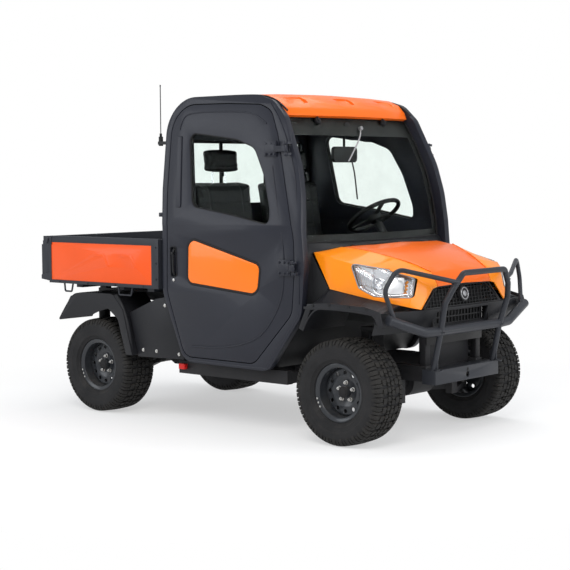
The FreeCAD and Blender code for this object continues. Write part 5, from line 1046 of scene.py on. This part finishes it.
def mirrors_and_aerial():
    glass_face = plate("mirror_face", curved([(-92, 1630, 22), (124, 1630, 22), (124, 1712, 22), (-92, 1712, 22)], 5),
                       facing_front(1497.0), -1.5, 0.5, 0.6)
    fitted(glass_face, "chassis", chrome, "cylinder_steel")
    base = rod("aerial_spring", at(578.0, -661.0, 1790.0), at(578.0, -661.0, 1812.0), 8.0, 20, 2.0)
    clamp = rod("aerial_nut", at(578.0, -661.0, 1734.0), at(578.0, -661.0, 1744.0), 15.0, 6, 2.0)
    tip = rod("aerial_tip", at(578.0, -661.0, 2104.0), at(578.0, -661.0, 2115.0), 4.0, 14, 1.4)
    fitted(joined("aerial_fittings", [base, clamp, tip]), "chassis", black_plastic, "black_plastic")
    bracket = [block("latch_bracket", (618, -728, 1292), (658, -700, 1318), 3.0),
               rod("latch_bracket_pin", at(634, -731, 1305), at(634, -698, 1305), 8.0, 18, 1.5)]
    both_sides(joined("rear_bracket", bracket), "rear_bracket", "chassis", "chassis", cab_paint, "cab_paint")


mirrors_and_aerial()

# ------------------------------------------------------------------ nose, lamps and guard
# The nose from cowl to grille: x, then y and z of its crease, of its shoulder and of its foot.
NOSE_ROWS = [
    (1780.0, 490.0, 1134.0, 638.0, 1102.0, 648.0, 1000.0), (1925.0, 464.0, 1124.0, 634.0, 1072.0, 650.0, 893.0),
    (2058.0, 440.0, 1105.0, 620.0, 1044.0, 630.0, 868.0), (2185.0, 375.0, 1068.0, 586.0, 1022.0, 602.0, 842.0),
    (2300.0, 316.0, 1026.0, 536.0, 1002.0, 568.0, 822.0), (2385.0, 282.0, 984.0, 452.0, 968.0, 508.0, 800.0),
    (2418.0, 274.0, 915.0, 330.0, 905.0, 440.0, 784.0)]
# The headlamp's edge on the flank: x, z and corner radius.
LAMP_EDGE = [(2052.0, 1046.0, 22.0), (2110.0, 902.0, 26.0), (2206.0, 856.0, 24.0), (2392.0, 850.0, 14.0),
             (2390.0, 962.0, 18.0), (2262.0, 1012.0, 60.0)]


def nose_flank(x, z, out):
    """A place on the right flank of the nose, or on the slope above its shoulder."""
    index = 0
    while index < len(NOSE_ROWS) - 2 and x > NOSE_ROWS[index + 1][0]:
        index += 1
    share = (x - NOSE_ROWS[index][0]) / (NOSE_ROWS[index + 1][0] - NOSE_ROWS[index][0])
    crease_y, crease_z, shoulder_y, shoulder_z, foot_y, foot_z = [
        a + (b - a) * share for a, b in zip(NOSE_ROWS[index][1:], NOSE_ROWS[index + 1][1:])]
    if z < shoulder_z:
        y = foot_y + (shoulder_y - foot_y) * (z - foot_z) / (shoulder_z - foot_z)
    else:
        y = shoulder_y + (crease_y - shoulder_y) * min(1.0, (z - shoulder_z) / (crease_z - shoulder_z))
    fall = math.radians(20.0 + 26.0 * max(0.0, min(1.0, (x - 2060.0) / 330.0)))
    return at(x + out * math.sin(fall), -(y + out * math.cos(fall)), z)


def lamp_sheet(name, outline, out, wall):
    """A sheet that follows the nose inside an outline; cutting planes give it the faces to bend."""
    xs, zs = [point[0] for point in outline], [point[1] for point in outline]
    bpy.ops.mesh.primitive_circle_add(vertices=len(outline), fill_type="NGON")
    piece = bpy.context.object
    piece.name = name
    for vertex, (x, z) in zip(piece.data.vertices, outline):
        vertex.co = Vector((x, 0.0, z))
    piece.matrix_world = Matrix.Identity(4)
    edit(piece)
    for index in range(1, 26):
        bpy.ops.mesh.select_all(action="SELECT")
        bpy.ops.mesh.bisect(plane_co=(min(xs) + (max(xs) - min(xs)) * index / 26, 0, 0), plane_no=(1, 0, 0))
    for index in range(1, 14):
        bpy.ops.mesh.select_all(action="SELECT")
        bpy.ops.mesh.bisect(plane_co=(0, 0, min(zs) + (max(zs) - min(zs)) * index / 14), plane_no=(0, 0, 1))
    done()
    for vertex in piece.data.vertices:
        vertex.co = nose_flank(vertex.co.x, vertex.co.z, out)
    thick = piece.modifiers.new("wall", "SOLIDIFY")
    thick.thickness = wall * MM
    thick.offset = 0.0
    apply_all(piece)
    return smooth(outward(piece), 40.0)


def shrunk(outline, share):
    middle = Vector((sum(p[0] for p in outline), sum(p[1] for p in outline))) / len(outline)
    return [tuple(middle + (Vector(point) - middle) * share) for point in outline]


def reflector(name, x, z, depth, radius, square):
    """A bowl that opens outward through the flank, with a bulb on its axis."""
    outer = nose_flank(x, z, -6.0)
    axis = (outer - nose_flank(x, z, -6.0 - depth)).normalized()
    bpy.ops.mesh.primitive_circle_add(vertices=40, radius=radius * MM, fill_type="NOTHING")
    bowl = bpy.context.object
    bowl.name = name
    edit(bowl)
    for step in range(1, 7):
        bpy.ops.mesh.extrude_region_move(TRANSFORM_OT_translate={"value": (0, 0, -depth / 6.0 * MM)})
        now = math.sqrt(1.0 - (step / 6.2) ** 2) / math.sqrt(1.0 - ((step - 1) / 6.2) ** 2)
        bpy.ops.transform.resize(value=(now, now, 1.0), center_override=(0, 0, 0))
    bpy.ops.mesh.edge_face_add()
    done()
    for vertex in bowl.data.vertices:
        wide = 1.0 + square * 0.22 * abs(math.sin(2.0 * math.atan2(vertex.co.y, vertex.co.x)))
        vertex.co.x *= wide * 1.14
        vertex.co.y *= wide * 0.94
    thick = bowl.modifiers.new("wall", "SOLIDIFY")
    thick.thickness = 1.5 * MM
    apply_all(bowl)
    outward(bowl)
    bowl.data.transform(Matrix.Translation(outer) @ Vector((0, 0, 1)).rotation_difference(axis).to_matrix().to_4x4())
    smooth(bowl, 40.0)
    bulb_foot, bulb_tip = outer - axis * depth * 0.9 * MM, outer - axis * depth * 0.35 * MM
    return bowl, rod(name + "_bulb", bulb_foot, bulb_tip, radius * 0.2, 20, 3.0)


def headlamp():
    outline = curved(LAMP_EDGE, 7)
    inside = shrunk(outline, 0.975)
    housing = lamp_sheet("lamp_housing", shrunk(outline, 0.985), -44.0, 3.0)
    rim = tube("lamp_rim", [nose_flank(x, z, -1.5) for x, z in inside], 3.4, closed=True, kind="POLY")
    back_rim = tube("lamp_back_rim", [nose_flank(x, z, -40.0) for x, z in inside], 5.0, closed=True, kind="POLY")
    ribs = []
    for index in range(9):
        x = 2092.0 + 13.0 * index
        top, foot = 1032.0 - 7.0 * index, 925.0 - 4.5 * index
        ribs.append(tube("lamp_rib", [nose_flank(x - 12, top, -34.0), nose_flank(x + 4, (top + foot) / 2, -20.0),
                                      nose_flank(x + 14, foot, -34.0)], 4.0))
    main_bowl, main_bulb = reflector("lamp_main", 2306.0, 918.0, 40.0, 50.0, 1.0)
    side_bowl, side_bulb = reflector("lamp_side", 2222.0, 930.0, 34.0, 30.0, 0.4)
    amber = [rod("indicator_cell", nose_flank(2362, 878 + 20 * index, -26.0), nose_flank(2362, 878 + 20 * index, -9.0),
                 8.0, 20, 2.0) for index in range(4)]
    square = plate("lamp_square", curved([(2262, 966, 14), (2350, 964, 14), (2350, 872, 14), (2262, 872, 14)], 5),
                   nose_flank, -28.0, -12.0, 3.0)
    divider_line = ((2178, 1012), (2190, 950), (2196, 890), (2230, 866), (2330, 862), (2372, 872))
    divider = tube("lamp_divider", [nose_flank(x, z, -12.0) for x, z in divider_line], 4.2)
    for piece, material, slot in (
            (joined("lamp_housing", [housing, back_rim]), chrome, "lamp_lens"),
            (square, lamp_bright, "lamp_lens"),
            (joined("lamp_reflectors", [main_bowl, side_bowl, divider] + ribs), chrome, "lamp_lens"),
            (rim, warm_grey, "lamp_lens"),
            (joined("lamp_bulbs", [main_bulb, side_bulb]), lens_clear, "lamp_lens"),
            (joined("indicator_cells", amber), lens_amber, "lamp_lens")):
        both_sides(piece, piece.name, "chassis", "chassis", material, slot)
    lens = lamp_sheet("lamp_lens", shrunk(outline, 0.99), -1.6, 2.0)
    whole = joined("lamp_lenses", [lens, mirrored(lens, "lamp_lens_left")])
    fitted(whole, "chassis", lens_clear, "lamp_lens")
    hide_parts("headlights")


def grille_dress():
    """A plain round emblem, fine net behind the slats and a rolled lip."""
    lean = math.atan2(2412.0 - 2390.0, 903.0 - 779.8)
    face = Vector((math.cos(lean), 0.0, math.sin(lean)))
    centre = at(2409.0, 0.0, 847.6)
    base = rod("emblem_base", centre, centre + face * 0.010, 45.0, 48, 2.0)
    fitted(base, "chassis", grille_plastic, "grille_plastic")
    bpy.ops.mesh.primitive_torus_add(major_radius=0.034, minor_radius=0.0032, major_segments=48, minor_segments=12,
                                     location=centre + face * 0.0105,
                                     rotation=Vector((0, 0, 1)).rotation_difference(face).to_euler())
    halo = settle(bpy.context.object)
    dome = rod("emblem_dome", centre + face * 0.009, centre + face * 0.013, 17.0, 36, 1.8)
    fitted(joined("emblem_trim", [smooth(halo), dome]), "chassis", warm_grey, "cylinder_steel")
    net = []
    for index in range(34):
        y = -390.0 + index * 780.0 / 33.0
        reach = 1.0 - max(0.0, (abs(y) - 250.0) / 150.0)
        if reach > 0.05:
            net.append(block("net_wire", (2378, y - 1.2, 784), (2381, y + 1.2, 784 + 112 * reach), 0.0))
    for index in range(9):
        z = 790.0 + 13.0 * index
        half = 390.0 - 136.0 * (z - 780.0) / 123.0
        net.append(block("net_wire", (2377, -half, z - 1.2), (2380, half, z + 1.2), 0.0))
    fitted(joined("grille_net", net), "chassis", grille_plastic, "grille_plastic")
    lip = tube("grille_lip", [at(2406, y, z) for y, z in
                              ((-396, 786), (-262, 904), (0, 909), (262, 904), (396, 786))], 4.5, kind="POLY")
    fitted(lip, "chassis", grille_plastic, "grille_plastic")


def nose_details():
    lip_line = [(1806, 652), (1862, 776), (2001, 786), (2249, 779), (2330, 760), (2346, 704)]
    both_sides(tube("fender_lip", [at(x, -741.0, z + 4.0) for x, z in lip_line], 5.5), "fender_lip", "chassis",
               "chassis", fender_plastic, "black_plastic")
    clip_places = ((1880, 776), (2001, 786), (2140, 782), (2262, 776))
    spots = [(at(x, -745.0, z + 24.0), (0.0, -1.0, 0.0)) for x, z in clip_places]
    both_sides(scattered(push_clip(9.0), "fender_clips", spots), "fender_clips", "chassis", "chassis", black_plastic,
               "black_plastic")
    crease = [(2030, 452, 1112), (2180, 384, 1071.5), (2300, 322, 1030), (2378, 290, 990)]
    both_sides(tube("hood_crease", [at(x, -y + 9, z - 1) for x, y, z in crease], 3.6), "hood_crease", "hood", "hood",
               orange_paint, "orange_paint")


def guard_details():
    """Weld beads at the tube joints, gussets and the slot of the tow plate."""
    welds = []
    for side in (-1.0, 1.0):
        for x, y, z, radius in ((2462, 307, 648, 26.0), (2452, 312, 428, 19.0), (2394, 657, 742, 18.0),
                                (2538, 275, 925, 18.0)):
            bpy.ops.mesh.primitive_torus_add(major_radius=(radius - 1.0) * MM, minor_radius=0.0032, major_segments=30,
                                             minor_segments=8, location=at(x, side * y, z),
                                             rotation=(0.0, math.radians(12.0), 0.0))
            bead = settle(bpy.context.object)
            for vertex in bead.data.vertices:
                turn = math.atan2(vertex.co.y - side * y * MM, vertex.co.x - at(x, 0, 0).x)
                vertex.co.z += 0.0008 * math.sin(turn * 15.0)
            welds.append(smooth(bead))
    fitted(joined("guard_welds", welds), "chassis", guard_paint, "guard_paint")
    gussets = [block("guard_gusset", (2396, side * 307 - 4, 426), (2444, side * 307 + 4, 486), 2.0)
               for side in (-1.0, 1.0)]
    fitted(joined("guard_gussets", gussets), "chassis", guard_paint, "guard_paint")
    slot = curved([(-9, 392, 8), (9, 392, 8), (9, 414, 8), (-9, 414, 8)], 4)
    fitted(plate("beam_slot", slot, facing_front(2442.0), -1.0, 0.8, 0.3), "chassis", rubber, "black_plastic")


# ------------------------------------------------------------------ cargo bed and rear
def bed_details():
    ribs = [block("floor_rib", (-385, -680 + 110 * index, 859), (605, -640 + 110 * index, 864), 2.2)
            for index in range(13)]
    ribs += [block("front_rib", (606, -616 + 240 * index, 880), (612.5, -584 + 240 * index, 1130), 2.2)
             for index in range(6)]
    fitted(joined("bed_ribs", ribs), "cargo_bed", bed_paint, "bed_paint")
    trims = [block("bed_top_rail", (-398, -759, 1143), (638, -728, 1153), 3.0)]
    both_sides(joined("bed_rails", trims), "bed_rails", "cargo_bed", "cargo_bed", bed_paint, "bed_paint")
    skin = flat_side(-760.0)
    spots = [(skin(x, z, 0.0), (0.0, -1.0, 0.0)) for x, z in
             ((618, 900), (618, 1000), (618, 1100), (-300, 850), (-20, 850), (240, 850), (500, 850))]
    both_sides(scattered(hex_bolt(5.5, 4.0), "bed_bolts", spots), "bed_bolts", "cargo_bed", "cargo_bed", bed_paint,
               "bed_paint")
    latch = [block("latch_box", (-404, -764, 1092), (-372, -756, 1148), 3.0),
             tube("latch_lever", [at(-396, -766, 1140), at(-406, -769, 1122), at(-412, -768, 1100)], 5.0)]
    both_sides(joined("gate_latch", latch), "gate_latch", "cargo_bed", "cargo_bed", bed_paint, "bed_paint")


def rear_body_details():
    """Rolled front edge of the rear fender, side panel bolts and bright pipe."""
    roll = tube("fender_roll", [at(214, -722, 778), at(262, -722, 722), at(300, -722, 640), at(330, -722, 540),
                                at(350, -722, 420)], 20.0, resolution=8)
    both_sides(roll, "fender_roll", "chassis", "chassis", fender_plastic, "black_plastic")
    edge = tube("fender_edge", [at(-324, -741, 600), at(-209, -741, 758), at(-120, -741, 785), at(190, -741, 785)], 5.0)
    both_sides(edge, "fender_edge", "chassis", "chassis", fender_plastic, "black_plastic")
    spots = [(at(x, -705.5, z), (0.0, -1.0, 0.0)) for x, z in ((640, 734), (760, 434), (560, 440), (440, 440))]
    both_sides(scattered(hex_bolt(7.5, 5.0), "side_panel_bolts", spots), "side_panel_bolts", "chassis", "chassis",
               zinc, "axle_metal")
    pipe = tube("bright_pipe", [at(560, -690, 714), at(612, -692, 742), at(668, -688, 790)], 7.0)
    both_sides(pipe, "bright_pipe", "chassis", "chassis", chrome, "cylinder_steel")
    fitted(block("release_tab", (720, -672, 336), (772, -636, 372), 4.0), "chassis", red_plastic, "orange_paint")


headlamp()
grille_dress()
nose_details()
guard_details()
bed_details()
rear_body_details()

# ------------------------------------------------------------------ cab interior
PAD_VOXEL = 6.0         # mm
PAD_PRESSURE = 4.0
PAD_FRAMES = 20
GROOVE_WIDTH = 7.0      # mm
GROOVE_DEPTH = 6.0


def swollen(piece, cap):
    """Blow a closed form up as sewn fabric over foam; no point moves further than the cap, in millimetres."""
    even = piece.modifiers.new("even", "REMESH")
    even.mode = "VOXEL"
    even.voxel_size = PAD_VOXEL * MM
    apply_all(piece)
    rest = [vertex.co.copy() for vertex in piece.data.vertices]
    cloth = piece.modifiers.new("fabric", "CLOTH")
    cloth.settings.quality = 3
    cloth.settings.use_pressure = True
    cloth.settings.uniform_pressure_force = PAD_PRESSURE
    cloth.settings.effector_weights.gravity = 0.0
    cloth.point_cache.frame_start = 1
    cloth.point_cache.frame_end = PAD_FRAMES
    for step in range(1, PAD_FRAMES + 1):
        bpy.context.scene.frame_set(step)
    apply_all(piece)
    bpy.context.scene.frame_set(1)
    for vertex, start in zip(piece.data.vertices, rest):
        move = vertex.co - start
        if move.length > cap * MM:
            vertex.co = start + move * (cap * MM / move.length)
    return piece


def cushion(name, profile, centre, half, cap, facing, grooves, corner=22.0):
    """A seat pad from its side profile; grooves are (axis, place) sewn lines on the face that looks along facing."""
    piece = plate(name, profile, lambda a, b, out: at(a, centre - half + out, b), 0.0, 2.0 * half, corner, 4)
    swollen(piece, cap)
    zero = at(0.0, 0.0, 0.0)
    for vertex in piece.data.vertices:
        if vertex.normal.dot(Vector(facing)) > 0.45:
            depth = sum(math.exp(-(((vertex.co[axis] - zero[axis]) / MM - place) / GROOVE_WIDTH) ** 2)
                        for axis, place in grooves)
            vertex.co -= Vector(facing) * min(1.0, depth) * GROOVE_DEPTH * MM
    finer = piece.modifiers.new("finer", "SUBSURF")
    finer.levels = 1
    finer.render_levels = 1
    apply_all(piece)
    return smooth(piece, 60.0)


def seats():
    base = cushion("seat_cushion_right", [(752, 806), (1170, 806), (1188, 922), (806, 900)], -342.0, 272.0, 8.0,
                   (0, 0, 1), [(1, -342.0 - 165.0), (1, -342.0 + 165.0), (0, 930.0), (0, 1060.0)])
    back = cushion("seat_back_right", [(800, 912), (912, 918), (822, 1494), (694, 1494)], -342.0, 252.0, 8.0,
                   (1, 0, 0), [(1, -342.0 - 150.0), (1, -342.0 + 150.0), (2, 1060.0), (2, 1220.0), (2, 1370.0)])
    rest = cushion("headrest_right", [(756, 1574), (838, 1574), (824, 1704), (746, 1704)], -342.0, 128.0, 6.0,
                   (1, 0, 0), [(2, 1600.0)], 18.0)
    for piece, node, fill in ((base, "seat_pads", 0.8), (back, "seat_pads", 0.75), (rest, "headrests", 0.8)):
        left = mirrored(piece, piece.name.replace("right", "left"))
        for pad in (piece, left):
            fitted(pad, "chassis", vinyl, "seat_vinyl")
            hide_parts(node)
    posts = [rod("headrest_post", at(774, -342 + y, 1494), at(774, -342 + y, 1585), 7.0, 16) for y in (-60, 60)]
    both_sides(joined("headrest_posts", posts), "headrest_posts", "chassis", "chassis", chrome, "cylinder_steel")


def cab_interior():
    lining = block("headliner", (716, -548, 1858), (1470, 548, 1868), 4.0)
    fitted(lining, "chassis", black_plastic, "black_plastic")
    shroud = block("intake_shroud", (2346, -286, 560), (2350, 286, 880), 1.0)
    walls = [block("intake_wall", (2350, side * 288 - 2, 640), (2396, side * 288 + 2, 775), 0.5)
             for side in (-1.0, 1.0)]
    shroud = joined("intake_shroud", [shroud] + walls)
    fitted(shroud, "chassis", grille_plastic, "grille_plastic")
    buckles = [block("buckle", (850, y - 14, 905), (872, y + 14, 968), 5.0) for y in (-30.0, 30.0)]
    fitted(joined("belt_buckles", buckles), "chassis", black_plastic, "black_plastic")
    cluster = block("gauge_cluster", (1572, 262, 1128), (1576, 438, 1164), 2.0)
    fitted(cluster, "chassis", screen_glass, "lamp_lens")


seats()
cab_interior()

# ------------------------------------------------------------------ floor, light and camera
def studio():
    bpy.ops.mesh.primitive_plane_add(size=60.0, location=(0.0, 0.0, 0.0))
    floor = bpy.context.object
    floor.name = "studio_floor"
    material = bpy.data.materials.new("studio_floor")
    material.use_nodes = True
    tree = material.node_tree
    shader = tree.nodes["Principled BSDF"]
    shader.inputs["Roughness"].default_value = 0.9
    shader.inputs["Specular IOR Level"].default_value = 0.1
    faint = noise(tree, object_place(tree), 2.0, 3.0)
    tree.links.new(blend_colour(tree, faint, (0.93, 0.93, 0.93, 1.0), (0.97, 0.97, 0.97, 1.0)),
                   shader.inputs["Base Color"])
    place = object_place(tree)
    flat = tree.nodes.new("ShaderNodeVectorMath")
    flat.operation = "LENGTH"
    tree.links.new(place, flat.inputs[0])
    away = ranged(tree, flat.outputs["Value"], 1.6, 3.4, 0.50, 1.0)
    path = tree.nodes.new("ShaderNodeLightPath")
    seen = math_node(tree, "MAXIMUM", path.outputs["Is Camera Ray"],
                     math_node(tree, "MAXIMUM", path.outputs["Is Glossy Ray"], path.outputs["Is Transmission Ray"]))
    white = tree.nodes.new("ShaderNodeEmission")
    white.inputs["Strength"].default_value = 1.0
    mix = tree.nodes.new("ShaderNodeMixShader")
    tree.links.new(math_node(tree, "MULTIPLY", seen, away), mix.inputs[0])
    tree.links.new(shader.outputs[0], mix.inputs[1])
    tree.links.new(white.outputs[0], mix.inputs[2])
    tree.links.new(mix.outputs[0], tree.nodes["Material Output"].inputs["Surface"])
    floor.data.materials.append(material)
    world = bpy.data.worlds.new("studio_light")
    bpy.context.scene.world = world
    world.use_nodes = True
    tree = world.node_tree
    tree.nodes.clear()
    end = tree.nodes.new("ShaderNodeOutputWorld")
    lit = tree.nodes.new("ShaderNodeBackground")
    lit.inputs["Color"].default_value = (0.93, 0.96, 1.0, 1.0)
    lit.inputs["Strength"].default_value = 0.62
    white = tree.nodes.new("ShaderNodeBackground")
    white.inputs["Color"].default_value = (1.0, 1.0, 1.0, 1.0)
    white.inputs["Strength"].default_value = 1.0
    path = tree.nodes.new("ShaderNodeLightPath")
    seen = math_node(tree, "MAXIMUM", path.outputs["Is Camera Ray"], path.outputs["Is Transmission Ray"])
    mix = tree.nodes.new("ShaderNodeMixShader")
    tree.links.new(seen, mix.inputs[0])
    tree.links.new(lit.outputs[0], mix.inputs[1])
    tree.links.new(white.outputs[0], mix.inputs[2])
    tree.links.new(mix.outputs[0], end.inputs["Surface"])
    lamps = [
        ("key_light", (3.2, -4.6, 4.6), (0.2, 0.0, 0.9), 3.0, 205.0, (1.0, 0.98, 0.95)),
        ("side_light", (-3.6, -4.2, 2.6), (-0.2, 0.0, 0.8), 2.6, 70.0, (0.93, 0.96, 1.0)),
        ("front_light", (5.4, 1.6, 2.2), (1.0, 0.0, 0.8), 2.4, 85.0, (0.95, 0.97, 1.0)),
        ("top_light", (0.0, 1.0, 5.2), (0.0, 0.0, 1.0), 3.6, 100.0, (1.0, 1.0, 1.0)),
    ]
    for name, place, target, size, power, colour in lamps:
        lamp = bpy.data.lights.new(name, "AREA")
        lamp.size = size
        lamp.energy = power
        lamp.color = colour
        holder = bpy.data.objects.new(name, lamp)
        bpy.context.collection.objects.link(holder)
        holder.location = place
        holder.rotation_euler = (Vector(target) - Vector(place)).to_track_quat("-Z", "Y").to_euler()


def camera():
    turn, pitch, roll = math.radians(40.82), math.radians(4.24), math.radians(-0.40)
    back = Vector((math.sin(turn) * math.cos(pitch), -math.cos(turn) * math.cos(pitch), math.sin(pitch)))
    right = Vector((math.cos(turn), math.sin(turn), 0.0))
    up = back.cross(right)
    level_right = right * math.cos(roll) + up * math.sin(roll)
    level_up = up * math.cos(roll) - right * math.sin(roll)
    data = bpy.data.cameras.new("studio_camera")
    data.lens = 94.48
    data.sensor_width = 36.0
    holder = bpy.data.objects.new("studio_camera", data)
    bpy.context.collection.objects.link(holder)
    axes = Matrix((level_right, level_up, back)).transposed().to_4x4()
    holder.matrix_world = Matrix.Translation((6.2874, -7.2976, 1.5523)) @ axes
    bpy.context.scene.camera = holder


studio()
camera()
bpy.context.scene.view_settings.view_transform = "Standard"
bpy.context.view_layer.update()
